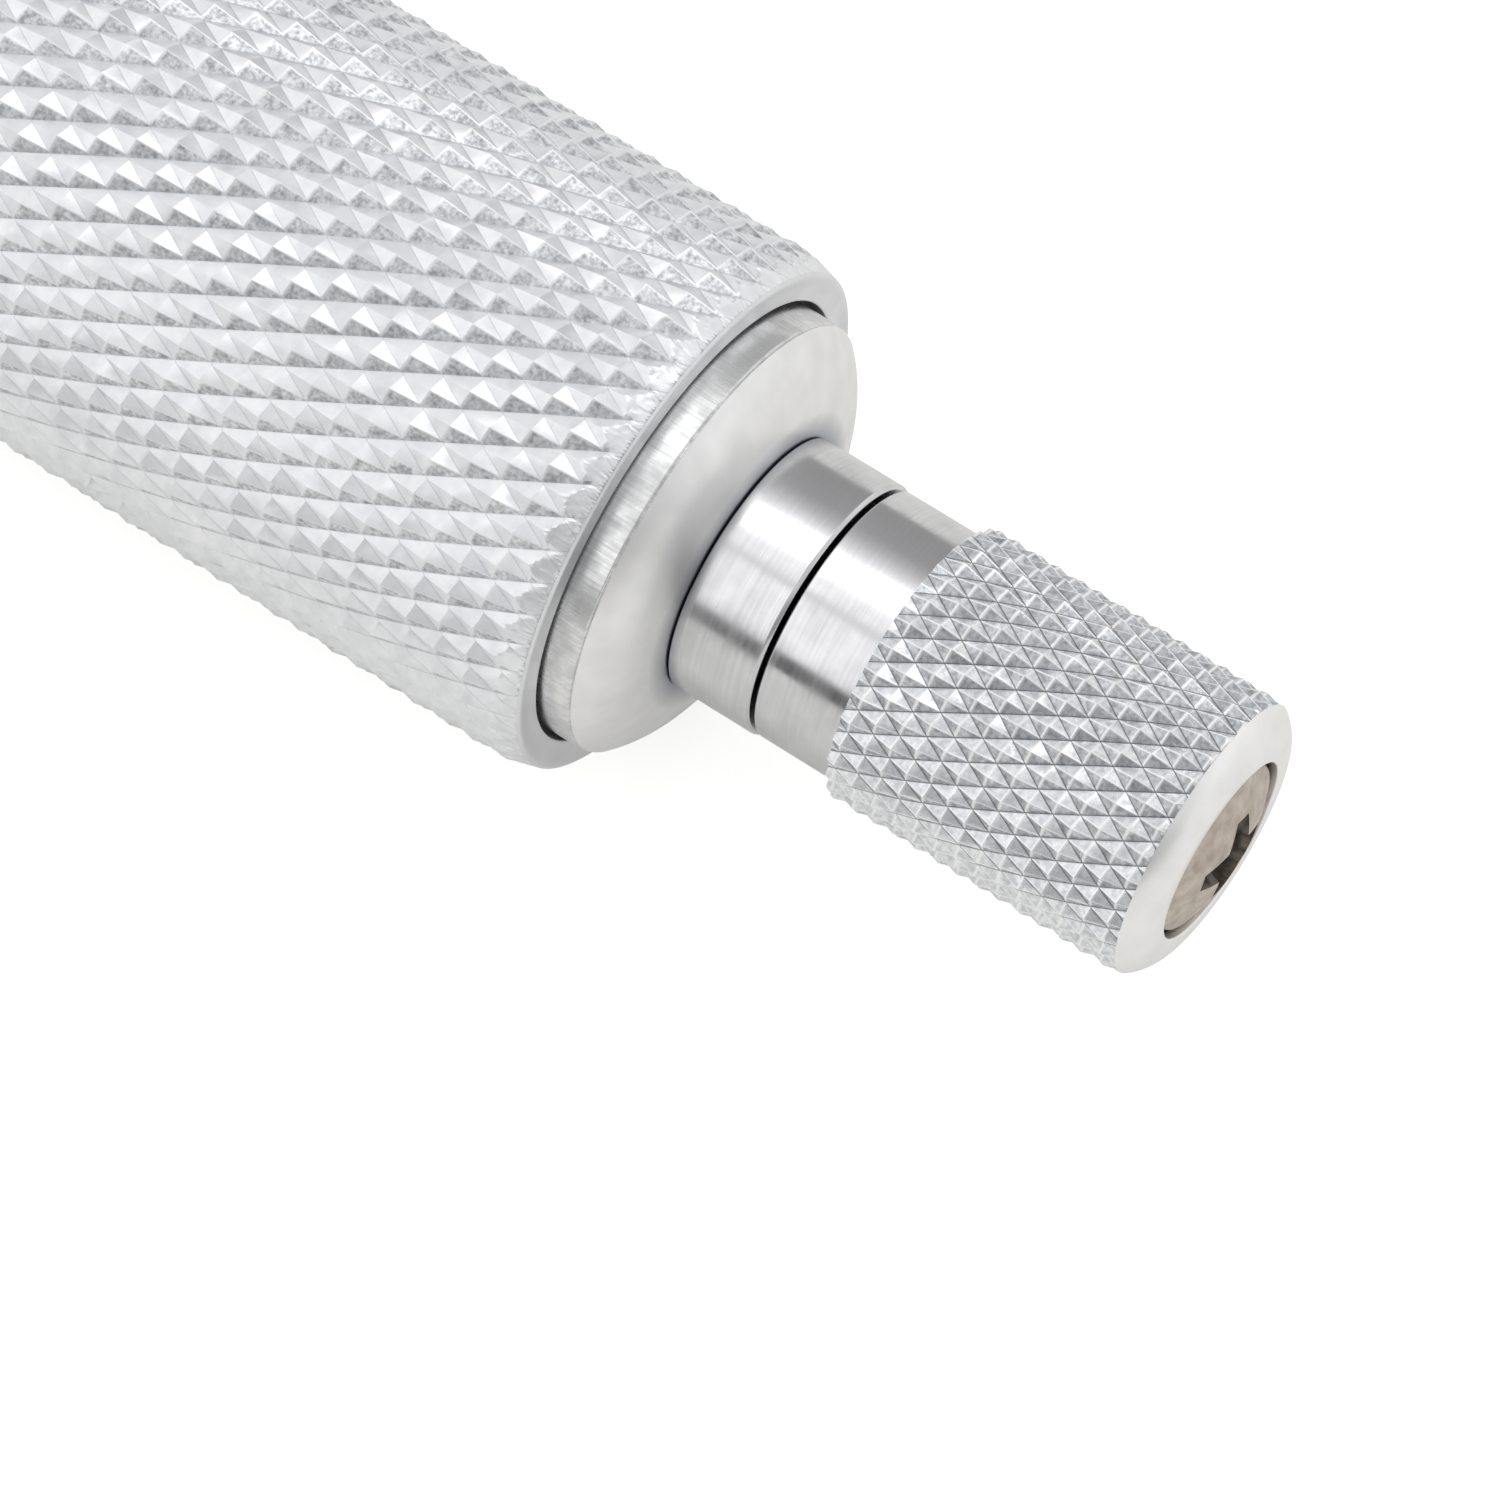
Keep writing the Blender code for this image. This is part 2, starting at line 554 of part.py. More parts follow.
def make_sleeves(parts, cutters, steel, chrome, brass):
    """Inner sleeve with its slit thread, the adjusting nut and the graduated outer sleeve."""
    front_bore = SPINDLE_R + RUN_GAP + SEAT_GAP
    bore_end = HUB_REAR + SLEEVE_FRONT_BORE
    thread_bore = THREAD_R + RUN_GAP
    relief_r = thread_bore + THREAD_RELIEF
    outline = [(INNER_END, INNER_SLEEVE_R), (INNER_FRONT, INNER_SLEEVE_R),
               (INNER_FRONT, front_bore), (bore_end, front_bore), (bore_end, relief_r),
               (THREAD_START, relief_r), (THREAD_START, thread_bore), (INNER_END, thread_bore)]
    sleeve = turned("inner_sleeve", outline, parts, steel)
    for number in range(SLIT_COUNT):
        mesh = bpy.data.meshes.new(f"slit_{number}")
        work = bmesh.new()
        bmesh.ops.create_cube(work, size=1.0)
        bmesh.ops.scale(work, vec=(SLIT_LENGTH + OVERRUN, SLIT_WIDTH, INNER_SLEEVE_R), verts=work.verts)
        bmesh.ops.translate(work, vec=(0.0, 0.0, INNER_SLEEVE_R / 2 + OVERRUN), verts=work.verts)
        work.to_mesh(mesh)
        work.free()
        slit = link(bpy.data.objects.new(f"slit_{number}", mesh), cutters)
        slit.location.x = INNER_END - (SLIT_LENGTH - OVERRUN) / 2
        slit.rotation_euler.x = math.tau * (number + 0.25) / SLIT_COUNT
        combine(sleeve, slit, 'DIFFERENCE')

    nut_in = INNER_SLEEVE_R + SEAT_GAP
    nut_end = INNER_END - NUT_FROM_END
    nut = [(nut_end, nut_in + NUT_WALL), (nut_end - NUT_LENGTH, nut_in + NUT_WALL),
           (nut_end - NUT_LENGTH, nut_in), (nut_end, nut_in)]
    turned("adjusting_nut", nut, parts, brass, COARSE)

    outer_end = nut_end - NUT_LENGTH - SLEEVE_TO_NUT
    outline = [(outer_end, OUTER_SLEEVE_R - SLEEVE_CHAMFER), (outer_end - SLEEVE_CHAMFER, OUTER_SLEEVE_R),
               (OUTER_FRONT + SLEEVE_CHAMFER, OUTER_SLEEVE_R), (OUTER_FRONT, OUTER_SLEEVE_R - SLEEVE_CHAMFER),
               (OUTER_FRONT, nut_in), (outer_end, nut_in)]
    outer = turned("outer_sleeve", outline, parts, chrome)
    hole = post("spanner_hole", OUTER_FRONT + SPANNER_HOLE_X, 0.0, -OUTER_SLEEVE_R - OVERRUN,
                -INNER_SLEEVE_R, SPANNER_HOLE_R, cutters, steps=12)
    combine(outer, hole, 'DIFFERENCE')


def make_lock(parts, cutters, steel, chrome, brass):
    """The lever turns a stud that presses a brass shoe on the spindle."""
    shoe_low = SPINDLE_R + RUN_GAP
    shoe_high = shoe_low + SHOE_LENGTH
    post("lock_shoe", LOCK_AT, 0.0, shoe_low, shoe_high, STUD_R - SEAT_GAP, parts, brass, COARSE)

    lever_low = HUB_R + RUN_GAP
    lever_high = lever_low + LEVER_THICKNESS
    head_low = lever_high + SEAT_GAP
    head_high = head_low + STUD_HEAD
    outline = [(head_high, 0.0), (head_high, STUD_HEAD_R - STUD_HEAD_CHAMFER), (head_high - STUD_HEAD_CHAMFER, STUD_HEAD_R),
               (head_low, STUD_HEAD_R), (head_low, STUD_R),
               (shoe_high + SEAT_GAP, STUD_R), (shoe_high + SEAT_GAP, 0.0)]
    stud = turned("lock_stud", outline, parts, steel, COARSE, closed=False)
    stud.rotation_euler = (0.0, 0.0, 0.0)
    stud.location = (LOCK_AT, 0.0, 0.0)
    mesh = bpy.data.meshes.new("stud_slot")
    work = bmesh.new()
    bmesh.ops.create_cube(work, size=1.0)
    slot_size = (3 * STUD_HEAD_R, STUD_SLOT, STUD_HEAD)
    bmesh.ops.scale(work, vec=slot_size, verts=work.verts)
    work.to_mesh(mesh)
    work.free()
    slot = link(bpy.data.objects.new("stud_slot", mesh), cutters)
    slot.location = (LOCK_AT, 0.0, head_high)
    combine(stud, slot, 'DIFFERENCE')

    lean = math.acos((LEVER_R - LEVER_TIP_R) / LEVER_LENGTH)
    down = -math.pi / 2
    points = arc(0.0, 0.0, LEVER_R, down + lean, down + math.tau - lean, 18)
    points += arc(0.0, -LEVER_LENGTH, LEVER_TIP_R, down - lean, down + lean, 9)
    lever = outline_solid("lock_lever", points, lever_low, lever_high, parts, chrome)
    bevel_rims(lever, LEVER_BEVEL, segments=1)
    lever.location.x = LOCK_AT
    hole = post("lever_hole", LOCK_AT, 0.0, lever_low - OVERRUN, lever_high + OVERRUN, STUD_R + SEAT_GAP,
                cutters)
    combine(lever, hole, 'DIFFERENCE')


# Spindle, thimble and its hub

def make_spindle(parts, steel, carbide):
    joint = SPINDLE_FACE + TIP_LENGTH
    tip = [(joint, 0.0), (joint, SPINDLE_R), (SPINDLE_FACE + TIP_CHAMFER, SPINDLE_R),
           (SPINDLE_FACE, SPINDLE_R - TIP_CHAMFER), (SPINDLE_FACE, 0.0)]
    turned("spindle_tip", tip, parts, carbide, COARSE, closed=False)

    thread_front = HUB_REAR + SLEEVE_FRONT_BORE + READING + THREAD_LEAD_IN
    tail = RIM + TAPER_END
    hole_floor = FLANGE_FRONT - STUB_LENGTH - SHOULDER_GAP
    hole_r = STUB_R + SEAT_GAP
    outline = [(hole_floor, 0.0), (hole_floor, hole_r), (tail, hole_r), (tail, TAPER_SMALL_R),
               (HUB_PLATE_FRONT, THREAD_R), (thread_front + THREAD_STANDOUT, THREAD_R),
               (thread_front, SPINDLE_R), (joint + SEAT_GAP, SPINDLE_R), (joint + SEAT_GAP, 0.0)]
    turned("spindle", outline, parts, steel, COARSE, closed=False)


def make_thimble(parts, chrome):
    """Graduated bevel, plain barrel, crossed knurl and the plain rear end."""
    row_step = KNURL_PITCH / 2
    knurl_end = RIM - TAIL_LENGTH
    knurl_start = knurl_end - KNURL_ROWS * row_step
    outline = [(RIM, THIMBLE_BORE_R), (RIM, TAIL_LIP_R),
               (RIM - TAIL_CONE, TAIL_CONE_R),
               (knurl_end + row_step / 3, TAIL_SHOULDER_R)]
    outline += [(knurl_end - i * row_step, THIMBLE_R) for i in range(KNURL_ROWS + 1)]
    outline += [(knurl_start - row_step / 3, KNURL_RELIEF_R),
                (knurl_start - row_step / 3 - KNURL_RELIEF, BARREL_R),
                (THIMBLE_EDGE + BEVEL_LENGTH, BARREL_R),
                (THIMBLE_EDGE, BEVEL_EDGE_R), (THIMBLE_EDGE, THIMBLE_BORE_R)]
    thimble = turned("thimble", outline, parts, chrome, 2 * KNURL_COUNT)
    apply_modifiers(thimble)
    cut_knurl(thimble, knurl_start, KNURL_PITCH, KNURL_ROWS, KNURL_COUNT, THIMBLE_R, KNURL_DEPTH)


def make_thimble_hub(parts, aluminium):
    """The domed collar that closes the thimble and holds it on the spindle's taper."""
    seat_r = THIMBLE_BORE_R - SEAT_GAP
    bore_rear = TAPER_SMALL_R + SEAT_GAP
    bore_front = THREAD_R + SEAT_GAP
    outline = [(DOME_FACE, bore_rear)]
    outline += crown(DOME_FACE, DOME_HEIGHT, FLANGE_R, BAND_R, DOME_POINTS)
    outline += [(RIM - BAND_START, BAND_R), (RIM - BAND_START, seat_r), (HUB_PLATE_FRONT, seat_r),
                (HUB_PLATE_FRONT, bore_front), (RIM + TAPER_END, bore_rear)]
    turned("thimble_hub", outline, parts, aluminium)


# Ratchet stop

def make_ratchet_base(parts, aluminium):
    """Flange, toothed crown and the stem that the knob turns on."""
    steps = 2 * TOOTH_COUNT
    hole_floor = HEAD_SEAT - SCREW_BITE - SHOULDER_GAP
    hole_r = SCREW_R + SEAT_GAP
    stub_end = FLANGE_FRONT - STUB_LENGTH
    outline = [(hole_floor, 0.0), (hole_floor, hole_r), (STEM_END, hole_r), (STEM_END, STEM_R),
               (CROWN_FACE - CROWN_FLOOR, STEM_R), (CROWN_FACE - CROWN_FLOOR, TOOTH_IN_R),
               (CROWN_FACE, TOOTH_IN_R), (CROWN_FACE, TOOTH_OUT_R), (FLANGE_REAR, TOOTH_OUT_R),
               (FLANGE_REAR, FLANGE_R - FLANGE_CHAMFER), (FLANGE_REAR - FLANGE_CHAMFER, FLANGE_R),
               (FLANGE_FRONT, FLANGE_R), (FLANGE_FRONT, STUB_R), (stub_end, STUB_R), (stub_end, 0.0)]
    base = turned("ratchet_base", outline, parts, aluminium, steps, closed=False)
    apply_modifiers(base)
    cut_teeth(base, CROWN_FACE, steps)


def make_click_ring(parts, steel):
    """Hexagonal ring whose teeth mesh with the base's; it slides in the knob's socket."""
    steps = 2 * TOOTH_COUNT
    bore_r = STEM_R + 2 * RUN_GAP
    shoulder = RING_FACE + CLICK_RING_CROWN
    drawn_r = TOOTH_OUT_R + RUN_GAP
    outline = [(RING_BACK, bore_r), (RING_BACK, drawn_r), (shoulder, drawn_r),
               (shoulder, TOOTH_OUT_R), (RING_FACE, TOOTH_OUT_R), (RING_FACE, TOOTH_IN_R),
               (RING_FACE + CLICK_RING_CROWN, TOOTH_IN_R), (RING_FACE + CLICK_RING_CROWN, bore_r)]
    ring = turned("click_ring", outline, parts, steel, steps)
    apply_modifiers(ring)
    cut_hexagon(ring, shoulder, RING_BACK, drawn_r, CAVITY_FLAT - RUN_GAP)
    cut_teeth(ring, RING_FACE, steps)


def make_ratchet_spring(parts, steel):
    """Compression spring between the click ring and the floor of the knob's socket."""
    first = RING_BACK + RUN_GAP + SPRING_WIRE_R
    last = CAVITY_FLOOR - RUN_GAP - SPRING_WIRE_R
    count = SPRING_TURNS * SPRING_POINTS + 1
    curve = bpy.data.curves.new("ratchet_spring", 'CURVE')
    curve.dimensions = '3D'
    curve.bevel_depth = SPRING_WIRE_R
    curve.bevel_resolution = 2
    curve.use_fill_caps = True
    spline = curve.splines.new('POLY')
    spline.points.add(count - 1)
    for i, point in enumerate(spline.points):
        angle = math.tau * i / SPRING_POINTS
        x = first + (last - first) * i / (count - 1)
        point.co = (x, SPRING_COIL_R * math.cos(angle), SPRING_COIL_R * math.sin(angle), 1.0)
    link(bpy.data.objects.new("ratchet_spring", curve), parts, steel)


def make_ratchet_knob(parts, aluminium):
    """Plain waist, crossed knurl and a domed end with a counterbore for the screw."""
    row_step = KNOB_KNURL_PITCH / 2
    bore_r = STEM_R + RUN_GAP
    outline = [(COUNTERBORE_FLOOR, COUNTERBORE_R)]
    outline += crown(KNOB_END, KNOB_CROWN, COUNTERBORE_R, KNOB_EDGE_R, KNOB_CROWN_POINTS)
    outline += [(KNOB_KNURL_END - i * row_step, KNOB_R) for i in range(1, KNOB_KNURL_ROWS + 1)]
    outline += [(KNOB_KNURL_START - KNOB_SHOULDER, WAIST_R),
                (KNOB_FRONT + WAIST_CHAMFER, WAIST_R), (KNOB_FRONT, WAIST_R - WAIST_CHAMFER),
                (KNOB_FRONT, CAVITY_DRAWN_R), (CAVITY_FLOOR, CAVITY_DRAWN_R), (CAVITY_FLOOR, bore_r),
                (COUNTERBORE_FLOOR, bore_r)]
    knob = turned("ratchet_knob", outline, parts, aluminium, 2 * KNOB_KNURL_COUNT)
    apply_modifiers(knob)
    cut_knurl(knob, KNOB_KNURL_START, KNOB_KNURL_PITCH, KNOB_KNURL_ROWS, KNOB_KNURL_COUNT,
              KNOB_R, KNOB_KNURL_DEPTH)
    cut_hexagon(knob, KNOB_FRONT, CAVITY_FLOOR, CAVITY_DRAWN_R, CAVITY_FLAT)


def make_end_screw(parts, cutters, nickel):
    """Domed screw that keeps the knob on the stem, with a cross recess."""
    rim = HEAD_SEAT + HEAD_RIM
    tip = HEAD_SEAT - SCREW_BITE
    outline = crown(rim + HEAD_ROUND + HEAD_DOME, HEAD_DOME, 0.0, HEAD_R - HEAD_ROUND, 6)
    outline += [(rim, HEAD_R), (HEAD_SEAT, HEAD_R), (HEAD_SEAT, SCREW_R), (tip, SCREW_R), (tip, 0.0)]
    screw = turned("end_screw", outline, parts, nickel, FINE, closed=False)
    top = rim + HEAD_ROUND + HEAD_DOME
    for number, turn in enumerate((math.pi / 4, -math.pi / 4), 1):
        mesh = bpy.data.meshes.new(f"recess_arm_{number}")
        work = bmesh.new()
        bmesh.ops.create_cube(work, size=1.0)
        for vertex in work.verts:
            share = RECESS_TAPER if vertex.co.x < 0 else 1.0
            vertex.co.x *= 2 * RECESS_DEPTH
            vertex.co.y *= RECESS_SPAN * share
            vertex.co.z *= RECESS_ARM * share
        work.to_mesh(mesh)
        work.free()
        arm = link(bpy.data.objects.new(f"recess_arm_{number}", mesh), cutters)
        arm.location.x = top
        arm.rotation_euler.x = turn
        combine(screw, arm, 'DIFFERENCE')


def main():
    clear_scene()
    parts = new_collection("outside_micrometer")
    cutters = new_collection("cutters")
    enamel = new_material("frame_enamel", (0.40, 0.42, 0.44), 0.45, 0.0)
    chrome = new_material("satin_chrome", (0.78, 0.79, 0.80), 0.34, 1.0)
    steel = new_material("ground_steel", (0.62, 0.63, 0.64), 0.22, 1.0)
    carbide = new_material("carbide", (0.30, 0.30, 0.31), 0.28, 1.0)
    plastic = new_material("grip_plastic", (0.03, 0.03, 0.032), 0.55, 0.0)
    aluminium = new_material("turned_aluminium", (0.86, 0.86, 0.86), 0.30, 1.0)
    nickel = new_material("nickel_plate", (0.60, 0.55, 0.49), 0.38, 1.0)
    brass = new_material("brass", (0.72, 0.52, 0.22), 0.35, 1.0)

    make_frame(parts, cutters, enamel)
    make_anvil(parts, steel, carbide)
    make_grip_plates(parts, cutters, plastic, steel)
    make_sleeves(parts, cutters, steel, chrome, brass)
    make_lock(parts, cutters, steel, chrome, brass)
    make_spindle(parts, steel, carbide)
    make_thimble(parts, chrome)
    make_thimble_hub(parts, aluminium)
    make_ratchet_base(parts, aluminium)
    make_click_ring(parts, steel)
    make_ratchet_spring(parts, steel)
    make_ratchet_knob(parts, aluminium)
    make_end_screw(parts, cutters, nickel)
    for obj in parts.objects:
        if obj.type == 'MESH':
            finish(obj)


main()
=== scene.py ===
"""The looks of an outside micrometer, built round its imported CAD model.

The rear of the thimble and the ratchet stop fill the picture, so those pieces are rebuilt with
fine knurls, turned edges and brushed metal. The measuring axis is +X and lengths are metres.
"""
import json
import logging
import math
from dataclasses import dataclass
from enum import Enum
from typing import Callable, Iterable, Sequence

import bmesh
import bpy
import numpy as np
from mathutils import Matrix, Vector, noise

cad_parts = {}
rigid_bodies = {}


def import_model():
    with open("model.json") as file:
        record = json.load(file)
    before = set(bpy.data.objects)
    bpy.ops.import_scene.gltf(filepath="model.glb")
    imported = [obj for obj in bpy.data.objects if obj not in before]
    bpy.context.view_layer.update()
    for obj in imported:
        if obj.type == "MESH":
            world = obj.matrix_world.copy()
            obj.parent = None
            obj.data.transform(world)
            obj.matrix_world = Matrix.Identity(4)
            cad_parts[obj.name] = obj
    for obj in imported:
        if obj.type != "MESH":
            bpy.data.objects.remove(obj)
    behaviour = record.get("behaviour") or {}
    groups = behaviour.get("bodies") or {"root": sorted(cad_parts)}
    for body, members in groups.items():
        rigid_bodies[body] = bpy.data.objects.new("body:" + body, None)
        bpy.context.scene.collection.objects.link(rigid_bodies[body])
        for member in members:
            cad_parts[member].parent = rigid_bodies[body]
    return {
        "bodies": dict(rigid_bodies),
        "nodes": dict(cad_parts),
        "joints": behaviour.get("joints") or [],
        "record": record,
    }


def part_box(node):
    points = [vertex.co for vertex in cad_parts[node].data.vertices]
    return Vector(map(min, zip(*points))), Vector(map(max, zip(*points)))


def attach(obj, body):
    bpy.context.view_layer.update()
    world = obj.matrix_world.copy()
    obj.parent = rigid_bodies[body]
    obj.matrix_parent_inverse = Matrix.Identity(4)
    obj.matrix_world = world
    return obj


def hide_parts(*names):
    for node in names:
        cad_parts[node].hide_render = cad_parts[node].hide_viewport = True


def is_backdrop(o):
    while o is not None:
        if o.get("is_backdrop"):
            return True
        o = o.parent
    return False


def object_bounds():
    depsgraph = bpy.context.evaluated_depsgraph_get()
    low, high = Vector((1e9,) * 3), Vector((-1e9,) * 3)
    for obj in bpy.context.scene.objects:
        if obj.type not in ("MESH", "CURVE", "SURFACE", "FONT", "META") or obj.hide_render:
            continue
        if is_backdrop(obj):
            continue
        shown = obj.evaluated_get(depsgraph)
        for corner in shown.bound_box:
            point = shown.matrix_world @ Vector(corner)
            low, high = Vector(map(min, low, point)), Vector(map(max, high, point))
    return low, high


LOG = logging.getLogger("micrometer")
MM = 0.001
MICRON = 1e-6
GROOVE = "groove"       # vertex attribute: 0 in a knurl's groove, 1 at a tip
RIDGE = "ridge"         # vertex attribute: 0 on a pyramid's ridges, 1 where two grooves cross
Point = tuple[float, float]
Value = bpy.types.NodeSocket | float | tuple[float, ...]


class Body(Enum):
    """The rigid bodies that a piece can ride on."""

    FRAME = "frame_body"
    LOCK = "lock_body"
    SPINDLE = "spindle_front"
    THIMBLE = "thimble_body"
    KNOB = "knob_body"
    CLICK = "click_body"


class Slot(Enum):
    """The record's material slots."""

    ENAMEL = "frame_enamel"
    CHROME = "satin_chrome"
    STEEL = "ground_steel"
    CARBIDE = "carbide"
    PLASTIC = "grip_plastic"
    ALUMINIUM = "turned_aluminium"
    NICKEL = "nickel_plate"
    BRASS = "brass"


def linear(code: str) -> tuple[float, float, float, float]:
    """Turn an sRGB colour to the linear one that shaders take.

    Args:
        code: Six hex digits.

    Returns:
        Red, green, blue and an alpha of 1.
    """
    shares = [int(code[i:i + 2], 16) / 255 for i in (0, 2, 4)]
    red, green, blue = (s / 12.92 if s <= 0.04045 else ((s + 0.055) / 1.055) ** 2.4 for s in shares)
    return red, green, blue, 1.0


def link(name: str, data: bpy.types.ID) -> bpy.types.Object:
    """Put an object into the scene.

    Args:
        name: Its name.
        data: Its mesh, curve, camera or lamp.

    Returns:
        The object.
    """
    item = bpy.data.objects.new(name, data)
    bpy.context.scene.collection.objects.link(item)
    return item


def link_mesh(name: str, shape: bmesh.types.BMesh) -> bpy.types.Object:
    """Put a mesh into the scene.

    Args:
        name: Its name.
        shape: The mesh, which is freed.

    Returns:
        The object.
    """
    data = bpy.data.meshes.new(name)
    shape.to_mesh(data)
    shape.free()
    return link(name, data)


def shade(data: bpy.types.Mesh, sharp: float) -> None:
    """Smooth a mesh, but not across its sharp edges.

    Args:
        data: The mesh.
        sharp: Angle in degrees above which an edge stays sharp.
    """
    data.shade_smooth()
    data.set_sharp_from_angle(angle=math.radians(sharp))


def evaluated(item: bpy.types.Object) -> bpy.types.Mesh:
    """Read the mesh that an object's modifiers or its letters come to.

    Args:
        item: The object.

    Returns:
        A new mesh.
    """
    bpy.context.view_layer.update()
    graph = bpy.context.evaluated_depsgraph_get()
    return bpy.data.meshes.new_from_object(item.evaluated_get(graph))


def carve(piece: bpy.types.Object, cutter: bpy.types.Object) -> None:
    """Cut one object out of another and remove it.

    Args:
        piece: What is cut.
        cutter: What is cut away.
    """
    modifier = piece.modifiers.new("carve", 'BOOLEAN')
    modifier.solver = 'EXACT'
    modifier.object = cutter
    cut = evaluated(piece)
    piece.modifiers.clear()
    piece.data = cut
    bpy.data.objects.remove(cutter, do_unlink=True)


@dataclass(frozen=True)
class Layout:
    """Places along the measuring axis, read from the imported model."""

    zero_line: float
    edge: float
    rim: float
    dome: float
    knob_front: float
    knob_end: float
    screw_top: float

    @classmethod
    def read(cls) -> "Layout":
        """Read the places from the CAD nodes.

        Returns:
            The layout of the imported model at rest.
        """
        thimble_low, thimble_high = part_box("thimble")
        knob_low, knob_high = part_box("ratchet_knob")
        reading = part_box("spindle_tip")[0].x
        return cls(
            zero_line=thimble_low.x - reading,
            edge=thimble_low.x,
            rim=thimble_high.x,
            dome=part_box("thimble_hub")[1].x,
            knob_front=knob_low.x,
            knob_end=knob_high.x,
            screw_top=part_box("end_screw")[1].x,
        )


class Outline:
    """Half section of a turned piece, given corner by corner, each with its own round."""

    ROUND_STEPS = 5
    SIDE_SHARE = 0.49       # a round takes less than half of a side

    def __init__(self) -> None:
        self._corners: list[tuple[float, float, float]] = []

    def to(self, x: float, radius: float, rounding: float = 0.0) -> "Outline":
        """Add a corner.

        Args:
            x: Place along the axis.
            radius: Distance from the axis.
            rounding: Length cut off each side of the corner by its round.

        Returns:
            The same outline.
        """
        self._corners.append((x, radius, rounding))
        return self

    def along(self, points: Iterable[Point]) -> "Outline":
        """Add sharp points of a curve.

        Args:
            points: Pairs of place and radius.

        Returns:
            The same outline.
        """
        for x, radius in points:
            self.to(x, radius)
        return self

    def points(self) -> list[Point]:
        """Lay out the outline with its rounds.

        Returns:
            Pairs of place and radius.
        """
        laid: list[Point] = []
        last = len(self._corners) - 1
        for i, (x, radius, rounding) in enumerate(self._corners):
            if rounding <= 0.0 or i in (0, last):
                laid.append((x, radius))
                continue
            corner = Vector((x, radius))
            before = Vector(self._corners[i - 1][:2]) - corner
            after = Vector(self._corners[i + 1][:2]) - corner
            first = corner + before.normalized() * min(rounding, before.length * self.SIDE_SHARE)
            second = corner + after.normalized() * min(rounding, after.length * self.SIDE_SHARE)
            for step in range(self.ROUND_STEPS + 1):
                t = step / self.ROUND_STEPS
                spot = first * (1 - t) ** 2 + corner * 2 * t * (1 - t) + second * t ** 2
                laid.append((spot.x, spot.y))
        return laid


class Shape:
    """A mesh under construction."""

    WELD = 0.01 * MICRON

    def __init__(self) -> None:
        self.mesh = bmesh.new()

    def turn(self, outline: Sequence[Point], segments: int = 192, look: int = 0) -> "Shape":
        """Spin a half section round the measuring axis.

        Args:
            outline: Pairs of place and radius.
            segments: Steps round the axis.
            look: Which of the piece's finishes it takes.

        Returns:
            The same shape.
        """
        blank = bmesh.new()
        verts = [blank.verts.new((x, 0.0, radius)) for x, radius in outline]
        edges = [blank.edges.new(pair) for pair in zip(verts, verts[1:])]
        bmesh.ops.spin(blank, geom=verts + edges, cent=(0, 0, 0), axis=(1, 0, 0),
                       angle=math.tau, steps=segments, use_merge=True)
        bmesh.ops.remove_doubles(blank, verts=blank.verts, dist=self.WELD)
        return self.add(blank, look)

    def add(self, other: bmesh.types.BMesh, look: int | None = None) -> "Shape":
        """Take in another mesh.

        Args:
            other: The mesh, which is freed.
            look: Which of the piece's finishes it takes, if its faces don't say that already.

        Returns:
            The same shape.
        """
        if look is not None:
            for face in other.faces:
                face.material_index = look
        store = bpy.data.meshes.new("store")
        other.to_mesh(store)
        other.free()
        self.mesh.from_mesh(store)
        bpy.data.meshes.remove(store)
        return self

    def finish(self, name: str, body: Body, looks: Sequence[bpy.types.Material], slot: Slot,
               replaces: Sequence[str] = (), sharp: float = 32.0,
               recalculate: bool = True) -> bpy.types.Object:
        """Turn the shape into a piece of the scene.

        Args:
            name: Name of the piece.
            body: Body it rides on.
            looks: Its finishes.
            slot: Material slot of the record; not used.
            replaces: CAD nodes that it stands for.
            sharp: Angle in degrees above which an edge stays sharp.
            recalculate: Whether normals are turned outwards.

        Returns:
            The piece.
        """
        if recalculate:
            bmesh.ops.recalc_face_normals(self.mesh, faces=self.mesh.faces)
        piece = link_mesh(name, self.mesh)
        shade(piece.data, sharp)
        for look in looks:
            piece.data.materials.append(look)
        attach(piece, body.value)
        if replaces:
            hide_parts(*replaces)
        LOG.info("%s: %d faces", name, len(piece.data.polygons))
        return piece


